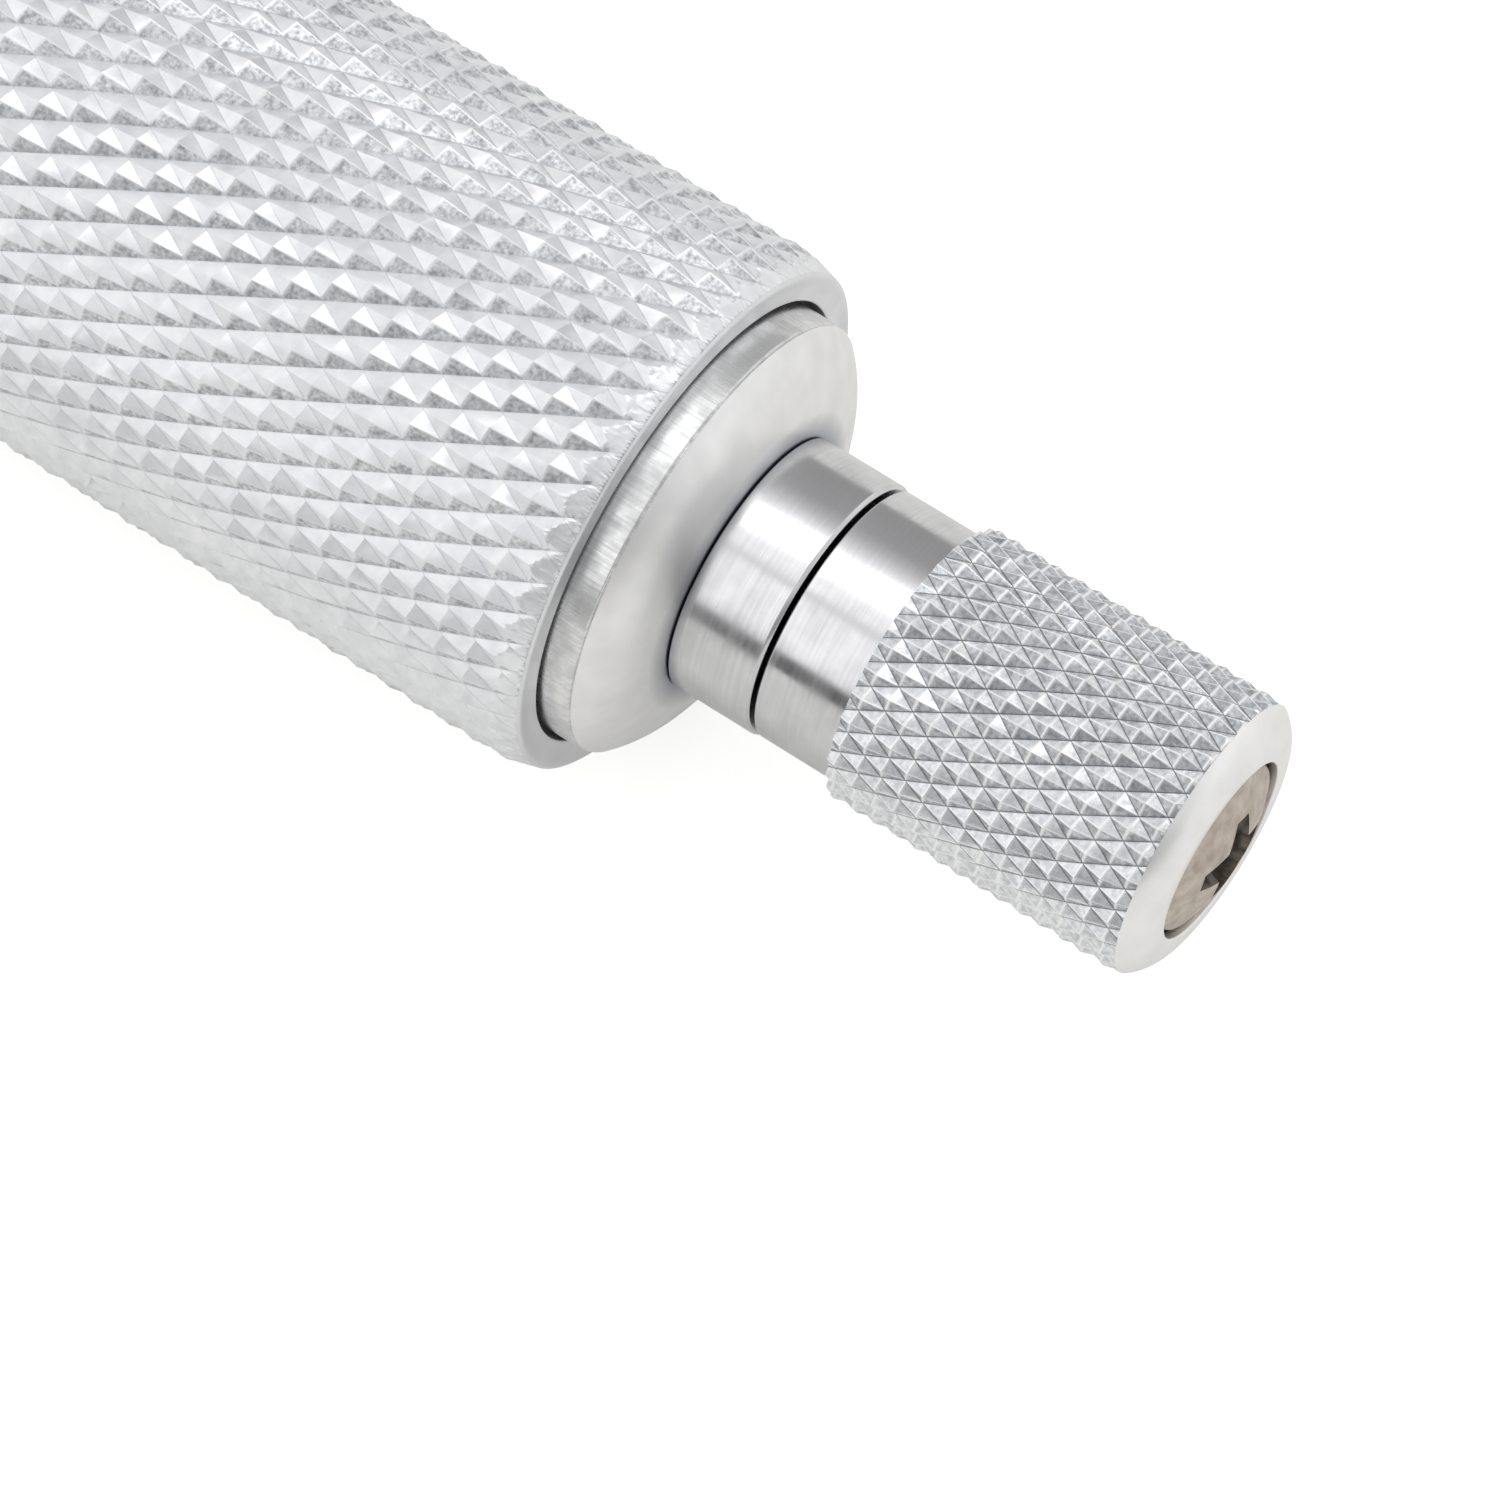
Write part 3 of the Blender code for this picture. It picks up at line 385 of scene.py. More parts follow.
@dataclass(frozen=True)
class Knurl:
    """A crossed knurl: right- and left-handed V grooves, rolled round a turned blank."""

    right: int              # grooves round the piece
    left: int
    right_pitch: float      # from groove to groove, along the axis
    left_pitch: float
    right_phase: float      # share of a pitch by which the grooves are shifted
    left_phase: float
    origin: float           # place where the phases hold
    start: float
    end: float
    depth: float            # of the right-handed grooves
    second: float           # depth of the left-handed ones, as a share of that
    ridge: float            # width taken off each side of a sharp ridge
    wander: float           # how much the tips vary in height
    crush: float            # roughness of the metal where the blank cuts the tips off
    torn: tuple[int, ...]   # flanks that the rolls have torn

    @property
    def around(self) -> int:
        """Number of pyramids in a zigzag row round the piece."""
        return self.right + self.left

    @property
    def reach(self) -> float:
        """Travel along the axis when both groove counts grow by their share of a turn."""
        return 1 / (1 / (self.right_pitch * self.right) + 1 / (self.left_pitch * self.left))

    def place(self, a: float, b: float) -> tuple[float, float]:
        """Turn groove counts into a place on the blank.

        Args:
            a: Position across the right-handed grooves, whole at each groove.
            b: Position across the left-handed grooves.

        Returns:
            The place along the axis and the angle round it.
        """
        across = a - self.right_phase
        along = (across / self.right + (b - self.left_phase) / self.left) * self.reach
        return self.origin + along, math.tau * (across - along / self.right_pitch) / self.right

    def counts(self, spot: Vector) -> tuple[float, float]:
        """Turn a spot into groove counts.

        Args:
            spot: A point of the knurled skin.

        Returns:
            Its positions across the right-handed and the left-handed grooves.
        """
        along = spot.x - self.origin
        turn = math.atan2(spot.z, spot.y) / math.tau
        return (self.right_phase + along / self.right_pitch + turn * self.right,
                self.left_phase + along / self.left_pitch - turn * self.left)

    def standing(self, a: float, b: float) -> tuple[float, float]:
        """Measure how far a spot lies from the grooves.

        Args:
            a: Position across the right-handed grooves.
            b: Position across the left-handed grooves.

        Returns:
            0 in a groove and 1 midway to the next one, for the right and the left hand.
        """
        return 1.0 - abs(2.0 * (a - math.floor(a)) - 1.0), 1.0 - abs(2.0 * (b - math.floor(b)) - 1.0)

    def is_torn(self, spot: Vector) -> bool:
        """Tell whether a spot lies on a flank that the rolls have torn.

        Args:
            spot: A point of the knurled skin.

        Returns:
            True on the torn flanks, counted from 0 as the near and the far one of a right-handed
            groove's ridge, then of a left-handed one's.
        """
        a, b = self.counts(spot)
        right, left = self.standing(a, b)
        if right < 1.0 - self.second * (1.0 - left):
            return int(a - math.floor(a) > 0.5) in self.torn
        return 2 + int(b - math.floor(b) > 0.5) in self.torn

    def row(self, step: int, x: float) -> float:
        """Find a place along the axis in a slanting row of pyramids.

        Args:
            step: How far the right-handed count is ahead of the left-handed one.
            x: Place along the axis.

        Returns:
            Position across the left-handed grooves.
        """
        share = (x - self.origin) / self.reach - (step - self.right_phase) / self.right
        return (share + self.left_phase / self.left) / (1 / self.right + 1 / self.left)

    def height(self, a: float, b: float) -> float:
        """Share of the depth that is left standing.

        Args:
            a: Position across the right-handed grooves.
            b: Position across the left-handed grooves.

        Returns:
            0 at the bottom of a right-handed groove, 1 at a pyramid's tip.
        """
        right, left = self.standing(a, b)
        return min(right, 1.0 - self.second * (1.0 - left))


class KnurlCutter:
    """Builds the skin of a knurled band."""

    FLAT_WELD = 1e-5            # in groove counts
    WELD = 0.2 * MICRON
    PLANE = 0.01 * MICRON
    END = 1.0 * MICRON          # how near its end plane a cut edge lies
    RIDGE_ANGLE = 0.3           # radians above which a convex edge is a ridge
    SWAY = 1.7                  # noise per mm: how the tips stray along the axis,
    RISE = 1.1                  # how they stray in height,
    ROUGH = 7.0                 # and how rough the cut-off tips are
    SINK = 0.3                  # how much lower than drawn the tips are, as a share of their stray
    CUT = 0.02 * MM             # least loss of a tip that counts as cut off

    def __init__(self, knurl: Knurl, radius: float, blank: Callable[[float], float]) -> None:
        """Set up the cutter.

        Args:
            knurl: The pattern.
            radius: Radius over the pyramids' tips.
            blank: Radius of the turned blank at a place along the axis.
        """
        self.knurl = knurl
        self.radius = radius
        self.blank = blank

    def cut(self, fine_from: float, cuts: int, shoulder: float, torn: int) -> bmesh.types.BMesh:
        """Make the skin.

        Args:
            fine_from: Place along the axis beyond which the pyramids are subdivided.
            cuts: Cuts of each edge there.
            shoulder: Radius that the chopped front end is closed down to.
            torn: Which finish the flanks take that the rolls have torn.

        Returns:
            The skin, open at its rear end.
        """
        flat = self._lattice()
        knurl = self.knurl
        spots = {v: knurl.place(v.co.x, v.co.y)[0] for v in flat.verts}
        fine = [e for e in flat.edges if all(spots[v] > fine_from for v in e.verts)]
        bmesh.ops.subdivide_edges(flat, edges=fine, cuts=cuts, use_grid_fill=True)
        self._wrap(flat)
        bmesh.ops.remove_doubles(flat, verts=flat.verts, dist=self.WELD)
        for x, side in ((knurl.start, -1.0), (knurl.end, 1.0)):
            geometry = flat.verts[:] + flat.edges[:] + flat.faces[:]
            bmesh.ops.bisect_plane(flat, geom=geometry, dist=self.PLANE, plane_co=(x, 0, 0),
                                   plane_no=(side, 0, 0), clear_outer=True)
        self._soften(flat)
        self._tear(flat, torn)
        self._close(flat, shoulder)
        grooves = flat.verts.layers.float.new(GROOVE)
        ridges = flat.verts.layers.float.new(RIDGE)
        for vert in flat.verts:
            right, left = knurl.standing(*knurl.counts(vert.co))
            vert[grooves] = min(right, left)
            vert[ridges] = abs(right - 1.0 + knurl.second * (1.0 - left))
        return flat

    def _lattice(self) -> bmesh.types.BMesh:
        """Lay the pyramids out flat, with the groove counts as coordinates."""
        knurl = self.knurl
        flat = bmesh.new()
        inset = (1.0 - knurl.second) / 2.0
        for step in range(knurl.around):
            first = math.floor(knurl.row(step, knurl.start) - 1.0)
            last = math.ceil(knurl.row(step, knurl.end) + 1.0)
            for b in range(first, last):
                a = b + step
                middle = flat.verts.new((a + 0.5, b + 0.5, 0.0))
                ring = [(a, b), (a + inset, b), (a + 0.5, b), (a + 1 - inset, b), (a + 1, b),
                        (a + 1, b + 0.5), (a + 1, b + 1), (a + 1 - inset, b + 1), (a + 0.5, b + 1),
                        (a + inset, b + 1), (a, b + 1), (a, b + 0.5)]
                corners = [flat.verts.new((p, q, 0.0)) for p, q in ring]
                for near, far in zip(corners, corners[1:] + corners[:1]):
                    flat.faces.new((near, far, middle))
        bmesh.ops.remove_doubles(flat, verts=flat.verts, dist=self.FLAT_WELD)
        return flat

    def _wrap(self, flat: bmesh.types.BMesh) -> None:
        """Bend the flat pattern round the blank and press the grooves in."""
        knurl = self.knurl
        for vert in flat.verts:
            a, b = vert.co.x, vert.co.y
            x, angle = knurl.place(a, b)
            side = Vector((0.0, math.cos(angle), math.sin(angle)))
            spot = (Vector((x, 0.0, 0.0)) + side * self.radius) / MM
            standing = knurl.height(a, b)
            x += knurl.wander * standing * noise.noise(spot * self.SWAY)
            rise = noise.noise(spot * self.RISE) - self.SINK
            crest = self.radius + knurl.wander * standing * rise
            radius = crest - knurl.depth * (1.0 - standing)
            blank = self.blank(x)
            if radius > blank:
                radius = blank - knurl.crush * abs(noise.noise(spot * self.ROUGH))
            vert.co = Vector((x, 0.0, 0.0)) + side * radius

    def _soften(self, skin: bmesh.types.BMesh) -> None:
        """Take the edge off the ridges."""
        skin.normal_update()
        ridges = []
        for edge in skin.edges:
            inner = len(edge.link_faces) == 2
            if inner and edge.is_convex and edge.calc_face_angle(0.0) > self.RIDGE_ANGLE:
                ridges.append(edge)
        bmesh.ops.bevel(skin, geom=ridges, offset=self.knurl.ridge, segments=2, profile=0.5,
                        material=-1, affect='EDGES', clamp_overlap=True)

    def _tear(self, skin: bmesh.types.BMesh, look: int) -> None:
        """Give the torn flanks their own finish, but not the tips that the blank cuts off."""
        for face in skin.faces:
            spot = face.calc_center_median()
            blank = self.blank(spot.x)
            low = blank - self.knurl.crush
            cut = blank < self.radius - self.CUT and math.hypot(spot.y, spot.z) > low
            torn = self.knurl.is_torn(spot) and not cut
            face.material_index = look if torn else 0

    def _close(self, skin: bmesh.types.BMesh, radius: float) -> None:
        """Close the front end with a flat shoulder."""
        start = self.knurl.start
        rim = [e for e in skin.edges
               if e.is_boundary and all(abs(v.co.x - start) < self.END for v in e.verts)]
        grown = bmesh.ops.extrude_edge_only(skin, edges=rim)["geom"]
        for item in grown:
            if isinstance(item, bmesh.types.BMVert):
                across = Vector((0.0, item.co.y, item.co.z)).normalized() * radius
                item.co = Vector((item.co.x, across.y, across.z))


class NodeTree:
    """The nodes of a material or of the world."""

    def __init__(self, owner: bpy.types.Material | bpy.types.World) -> None:
        owner.use_nodes = True
        self.tree = owner.node_tree

    def feed(self, node: bpy.types.Node, inputs: dict[str | int, Value]) -> None:
        """Set or link a node's inputs.

        Args:
            node: The node.
            inputs: A number, a colour or another node's output for each socket.
        """
        for key, value in inputs.items():
            if isinstance(value, bpy.types.NodeSocket):
                self.tree.links.new(value, node.inputs[key])
            else:
                node.inputs[key].default_value = value

    def add(self, kind: str, inputs: dict[str | int, Value] | None = None,
            output: str | int = 0, **settings: object) -> bpy.types.NodeSocket:
        """Add a node with its settings and links.

        Args:
            kind: Type name of the node, without its prefix.
            inputs: What its sockets take.
            output: Socket that is handed back.
            **settings: Properties to set on it.

        Returns:
            The node's output.
        """
        node = self.tree.nodes.new("ShaderNode" + kind)
        for key, value in settings.items():
            setattr(node, key, value)
        self.feed(node, inputs or {})
        return node.outputs[output]


@dataclass(frozen=True)
class Finish:
    """A surface finish, as one noise drawn out to brush lines and one of soft patches."""

    name: str
    pale: str                                   # sRGB, where it is cleanest
    dull: str                                   # sRGB, where it is worn or stained
    metallic: float
    roughness: float
    lines_mm: tuple[float, float, float]        # size of a brush mark along X, Y and Z
    lines_height: float                         # in microns
    patches_mm: float = 1.1
    gloss_swing: float = 0.06                   # how much the roughness varies
    specks_mm: float = 0.1
    specks_height: float = 0.0                  # in microns
    coat: float = 0.0
    polish: tuple[float, str] | None = None     # reach from a knurl's ridge, and its colour there
    # The groove colour is dirt and painted shade: it darkens each groove towards its bottom, standing in for
    # the shade there too.
    dirt: tuple[float, str] | None = None       # reach from a groove, and its colour there
    # The ring's colour is painted shade: darkest at its inner radius, standing in for the shade and dark
    # reflection of the part beside it.
    ring: tuple[float, float, str] | None = None        # radii in mm between which a stain fades

    SPREAD = (0.35, 0.65)       # most of a noise lies between these
    PATCH_SHARE = 0.6           # how much the patches count beside the lines
    RIDGE_EDGE = 0.03           # the polish is full up to here

    def build(self) -> bpy.types.Material:
        """Make the material.

        Returns:
            A node material with brush lines, mottled tone and varied gloss.
        """
        material = bpy.data.materials.new(self.name)
        nodes = NodeTree(material)
        low, high = self.SPREAD
        place = nodes.add("TexCoord", output="Object")
        scale = tuple(1 / (size * MM) for size in self.lines_mm)
        drawn = nodes.add("Mapping", {"Vector": place, "Scale": scale})
        lines = nodes.add("TexNoise", {"Vector": drawn, "Scale": 1.0, "Detail": 3.0})
        patches = nodes.add("TexNoise", {"Vector": place, "Scale": 1 / (self.patches_mm * MM),
                                         "Detail": 4.0})
        both = nodes.add("Mix", {"Factor": self.PATCH_SHARE, "A": lines, "B": patches}, "Result")
        worn = nodes.add("MapRange", {"Value": both, "From Min": low, "From Max": high}, "Result")
        colour = nodes.add("Mix", {"Factor": worn, "A": linear(self.dull), "B": linear(self.pale)},
                           "Result", data_type='RGBA')
        if self.polish is not None:
            near = nodes.add("Attribute", output="Fac", attribute_name=RIDGE)
            colour = self._fade(nodes, near, self.RIDGE_EDGE, *self.polish, colour)
        # Dirt and painted shade: darker towards each groove's bottom.
        if self.dirt is not None:
            near = nodes.add("Attribute", output="Fac", attribute_name=GROOVE)
            colour = self._fade(nodes, near, 0.0, *self.dirt, colour)
        # Painted shade and reflection: a dark ring that fades out between two radii.
        if self.ring is not None:
            inner, outer, stain_and_shade = self.ring
            across = nodes.add("VectorMath", {0: place, 1: (0.0, 1.0, 1.0)}, operation='MULTIPLY')
            radius = nodes.add("VectorMath", {0: across}, "Value", operation='LENGTH')
            colour = self._fade(nodes, radius, inner * MM, outer * MM, stain_and_shade, colour)
        rough = nodes.add("MapRange", {"Value": both, "From Min": low, "From Max": high,
                                       "To Min": self.roughness + self.gloss_swing,
                                       "To Max": self.roughness - self.gloss_swing}, "Result")
        relief = nodes.add("Bump", {"Height": lines, "Distance": self.lines_height * MICRON})
        if self.specks_height > 0.0:
            specks = nodes.add("TexNoise", {"Vector": place, "Scale": 1 / (self.specks_mm * MM),
                                            "Detail": 2.0})
            relief = nodes.add("Bump", {"Height": specks, "Normal": relief,
                                        "Distance": self.specks_height * MICRON})
        shader = material.node_tree.nodes["Principled BSDF"]
        nodes.feed(shader, {"Base Color": colour, "Roughness": rough, "Normal": relief,
                            "Metallic": self.metallic, "Coat Weight": self.coat})
        return material

    @staticmethod
    def _fade(nodes: NodeTree, value: bpy.types.NodeSocket, low: float, high: float, stain_and_shade: str,
              colour: bpy.types.NodeSocket) -> bpy.types.NodeSocket:
        """Let a stain, or a painted shade, fade out into the clean colour.

        Args:
            nodes: Nodes of the material.
            value: What the fading follows.
            low: Its value where the stain is full.
            high: Its value where the stain has gone.
            stain_and_shade: Colour of the stain, or of the painted shade for the collar's ring.
            colour: The clean colour.

        Returns:
            The colour of both together.
        """
        clean = nodes.add("MapRange", {"Value": value, "From Min": low, "From Max": high}, "Result")
        return nodes.add("Mix", {"Factor": clean, "A": linear(stain_and_shade), "B": colour}, "Result",
                         data_type='RGBA')


class Finishes:
    """All finishes of the micrometer."""

    TURNED = (0.11, 4.0, 4.0)       # marks that run round the axis, drawn coarse enough to show
    SANDED = (1.4, 1.1, 1.1)
    EVEN = (0.4, 0.4, 0.4)

    def __init__(self) -> None:
        # Aluminium, knurled, then etched and anodised: pale, with broad soft highlights, and darker in its
        # grooves as dirt and painted shade.
        self.knurl = Finish("etched_knurl", "F7F8F9", "E8EAEC", 0.85, 0.35, self.EVEN, 4.0,
                            patches_mm=0.7, specks_mm=0.09, specks_height=2.4, gloss_swing=0.05,
                            dirt=(0.05, "D2D5D8")).build()
        # The flanks that the rolls tore: the same metal, rough, with dark pits.
        self.torn = Finish("torn_knurl", "F1F3F4", "A4A7AA", 0.9, 0.36, self.EVEN, 4.0,
                           patches_mm=0.13, specks_mm=0.06, specks_height=9.0,
                           polish=(0.20, "F7F8F9")).build()
        # The same anodised aluminium on the plain turned surfaces.
        self.satin = Finish("anodised_satin", "EBECEE", "E3E4E6", 1.0, 0.36, self.TURNED, 0.5,
                            specks_height=0.6, gloss_swing=0.04).build()
        # Bare aluminium, rolled with a knurl: dull flanks, ridges rubbed bright, oxide in the grooves,
        # darkened further there as painted shade.
        self.pressed = Finish("pressed_knurl", "F5F7F8", "CFD2D5", 0.9, 0.27, self.EVEN, 3.0,
                              specks_mm=0.07, specks_height=4.0, patches_mm=0.2, gloss_swing=0.07,
                              polish=(0.20, "FCFCFC"), dirt=(0.08, "75787B")).build()
        # Its torn flanks, darker and full of pits, with oxide and painted shade in the grooves.
        self.pressed_torn = Finish("torn_press", "DEE1E4", "999C9F", 0.85, 0.3, self.EVEN, 4.0,
                                   specks_mm=0.06, specks_height=8.0, patches_mm=0.15,
                                   gloss_swing=0.07, polish=(0.20, "FCFCFC"),
                                   dirt=(0.08, "6A6D70")).build()
        # Bare aluminium, turned bright: mirror bands along the piece, frayed by the tool marks.
        self.bright = Finish("bright_turned", "DEDEDF", "CCCCCD", 1.0, 0.18, self.TURNED, 1.6,
                             gloss_swing=0.06).build()
        # Aluminium, sanded after turning: light grey, hardly any mirror left.
        self.dome = Finish("sanded_aluminium", "FBFBFA", "F3F3F2", 1.0, 0.34, self.SANDED, 0.8,
                           specks_height=0.8, gloss_swing=0.05).build()
        # The same on the collar, darker round its foot as a painted shade and reflection of the flange.
        self.collar = Finish("sanded_collar", "F5F5F4", "ECECEB", 1.0, 0.34, self.SANDED, 0.8,
                             specks_height=0.8, gloss_swing=0.05, ring=(4.3, 5.2, "A2A5AC")).build()
        # Aluminium with grinding marks along the axis, which break the reflections into streaks.
        self.band = Finish("ground_band", "F0F0EF", "CACBCB", 1.0, 0.30, (2.2, 0.10, 0.10), 5.0,
                           patches_mm=0.6, gloss_swing=0.08).build()
        # Steel, nickel plated and tumbled: warm grey and matt.
        self.nickel = Finish("tumbled_nickel", "D0C6BA", "B7ACA1", 1.0, 0.46, self.EVEN, 2.0,
                             patches_mm=0.5, specks_height=1.4, gloss_swing=0.08).build()
        # The same nickel inside the recess, painted dark as the recess's shade.
        self.nickel_shade = Finish("recess_painted_shade", "6E665C", "38322D", 0.8, 0.5, self.EVEN, 2.0,
                                   patches_mm=0.4).build()
        # Aluminium in the ratchet's joint and inside the knob, painted dark as their shade, with oil on it.
        self.oiled = Finish("joint_painted_shade", "3A3938", "2A2928", 0.4, 0.55, self.EVEN, 1.0).build()
        # Hardened steel, ground: darker and bluer than the aluminium.
        self.steel = Finish("ground_steel", "D0D2D5", "BFC2C5", 1.0, 0.22, self.TURNED, 0.6).build()
        # Tungsten carbide, lapped: dark, smooth and even.
        self.carbide = Finish("lapped_carbide", "A2A2A5", "8F8F93", 1.0, 0.22, self.EVEN, 0.3).build()
        # Satin chrome on steel, the ground of the scales: no glare.
        self.chrome = Finish("satin_chrome", "E4E6E8", "DADCDF", 1.0, 0.36, self.TURNED, 0.4,
                             gloss_swing=0.03).build()
        # Stove enamel on cast iron: a light orange peel over the casting's waves.
        self.enamel = Finish("stove_enamel", "AEB4BA", "A1A8AF", 0.0, 0.42, (3.0, 3.0, 3.0), 22.0,
                             specks_mm=0.3, specks_height=9.0, coat=0.25).build()
        # Moulded phenolic plastic: black, with a fine leathery grain from the mould.
        self.plastic = Finish("phenolic_plastic", "2B2B2D", "212123", 0.0, 0.48, self.EVEN, 10.0,
                              specks_mm=0.22, specks_height=14.0).build()
        # Brass, turned.
        self.brass = Finish("turned_brass", "CDB27A", "B99C62", 1.0, 0.33, self.TURNED, 0.6).build()
        # Black filler in the etched scales.
        self.ink = Finish("scale_ink", "1C1C1E", "141416", 0.0, 0.55, self.EVEN, 1.0).build()


def crown(face: float, height: float, inner: float, outer: float, count: int) -> list[Point]:
    """Points of a domed end, from its flat middle out to its edge.

    Args:
        face: Place of the flat middle.
        height: Drop to the edge.
        inner: Radius where the flat middle ends.
        outer: Radius of the edge.
        count: Number of points.

    Returns:
        Pairs of place and radius.
    """
    reach = outer - inner
    radius = (height ** 2 + reach ** 2) / (2 * height)
    points = []
    for i in range(count):
        offset = reach * i / (count - 1)
        points.append((face - radius + math.sqrt(radius ** 2 - offset ** 2), inner + offset))
    return points


def interpolated(points: Sequence[Point]) -> Callable[[float], float]:
    """Read a turned outline as a radius for each place.

    Args:
        points: Pairs of place and radius, with the place growing.

    Returns:
        A function from place to radius.
    """
    places = [p[0] for p in points]
    radii = [p[1] for p in points]
    return lambda x: float(np.interp(x, places, radii))


@dataclass(frozen=True)
class Thimble:
    """The graduated, knurled thimble."""

    layout: Layout
    finishes: Finishes
    radius: float = 9.0 * MM
    barrel: float = 8.95 * MM
    bore: float = 7.66 * MM
    lip: float = 8.56 * MM
    relief: float = 8.70 * MM
    bevel_length: float = 5.5 * MM
    bevel_edge: float = 7.95 * MM
    knurl_length: float = 27.38 * MM
    run_out: float = 0.08 * MM      # from the knurl's end to the rim
    lead: float = 0.2 * MM          # chamfer of the blank at the knurl's front
    fine: float = 1.9 * MM          # part of the knurl that is cut finest, at its rear
    mouth: float = 2.5 * MM         # depth of the bore that belongs to the rear lip
    # Chamfer of the blank at its rear, as pairs of a distance from the rim and a radius.
    chamfer: tuple[Point, ...] = ((1.3 * MM, 9.0 * MM), (0.95 * MM, 8.93 * MM), (0.5 * MM, 8.78 * MM),
                                  (0.08 * MM, 8.66 * MM), (0.0, 8.56 * MM))

    @property
    def knurl(self) -> Knurl:
        """The knurl, with its grooves where the real ones run out at the rear."""
        rim = self.layout.rim
        return Knurl(right=49, left=48, right_pitch=2.2025 * MM, left_pitch=2.1594 * MM,
                     right_phase=0.685, left_phase=0.595, origin=rim - 12.0 * MM,
                     start=rim - self.run_out - self.knurl_length, end=rim - self.run_out,
                     depth=0.29 * MM, second=0.82, ridge=0.018 * MM, wander=0.05 * MM,
                     crush=0.04 * MM, torn=(1,))

    def build(self) -> None:
        """Make the thimble's piece."""
        rim = self.layout.rim
        edge = self.layout.edge
        knurl = self.knurl
        front_edge = [(knurl.start, self.radius - self.lead), (knurl.start + self.lead, self.radius)]
        blank = interpolated(front_edge + [(rim - left, radius) for left, radius in self.chamfer])
        rear = Outline().to(rim - self.mouth, self.bore).to(rim - 0.05 * MM, self.bore, 0.07 * MM)
        rear.to(rim - self.run_out, self.bore + 0.45 * MM, 0.2 * MM)
        rear.to(rim, self.lip - 0.10 * MM, 0.03 * MM)
        rear.to(rim, self.lip, 0.04 * MM).to(knurl.end, blank(knurl.end))
        front = Outline().to(knurl.start, self.relief)
        front.to(knurl.start - 0.70 * MM, self.relief, 0.05 * MM)
        front.to(knurl.start - 0.90 * MM, self.barrel, 0.06 * MM)
        front.to(edge + self.bevel_length, self.barrel, 0.3 * MM)
        front.to(edge, self.bevel_edge, 0.08 * MM)
        front.to(edge, self.bore, 0.1 * MM).to(rim - self.mouth, self.bore)
        shape = Shape().turn(rear.points(), 256, 1).turn(front.points(), 192, 1)
        cutter = KnurlCutter(knurl, self.radius, blank)
        shape.add(cutter.cut(knurl.end - self.fine, 4, self.relief, 2))
        looks = [self.finishes.knurl, self.finishes.satin, self.finishes.torn]
        shape.finish("thimble_skin", Body.THIMBLE, looks, Slot.CHROME, ["thimble"], sharp=24.0)


@dataclass(frozen=True)
class Collar:
    """The domed collar that closes the thimble."""

    layout: Layout
    finishes: Finishes
    band: float = 7.475 * MM
    seat: float = 7.61 * MM
    bore: float = 3.1 * MM
    flat: float = 4.35 * MM         # where the dome begins
    neck: float = 4.03 * MM         # bore on the spindle's taper
    step: float = 1.007 * MM        # how far the band stands out of the thimble
    stop: float = 1.2 * MM          # from the rim in to where it widens to its seat
    depth: float = 6.5 * MM         # from the rim in to its front
    brim: float = 0.05 * MM         # how far the dome's edge lies inside the band

    def build(self) -> None:
        """Make the dome and its ground band."""
        rim = self.layout.rim
        dome = self.layout.dome
        step = rim + self.step
        stop = rim - self.stop
        front = rim - self.depth
        top = [(dome, self.bore)]
        top += crown(dome, dome - step - 0.02 * MM, self.flat, self.band - self.brim, 28)
        side = Outline().to(step + 0.02 * MM, self.band - self.brim)
        side.to(step - 0.03 * MM, self.band - 0.065 * MM).to(step - 0.07 * MM, self.band, 0.03 * MM)
        side.to(stop, self.band).to(stop, self.seat)
        side.to(front, self.seat).to(front, self.neck).to(dome, self.bore)
        shape = Shape().turn(top, 256).turn(side.points(), 256, 1)
        shape.finish("collar_skin", Body.THIMBLE, [self.finishes.collar, self.finishes.band],
                     Slot.ALUMINIUM, ["thimble_hub"])


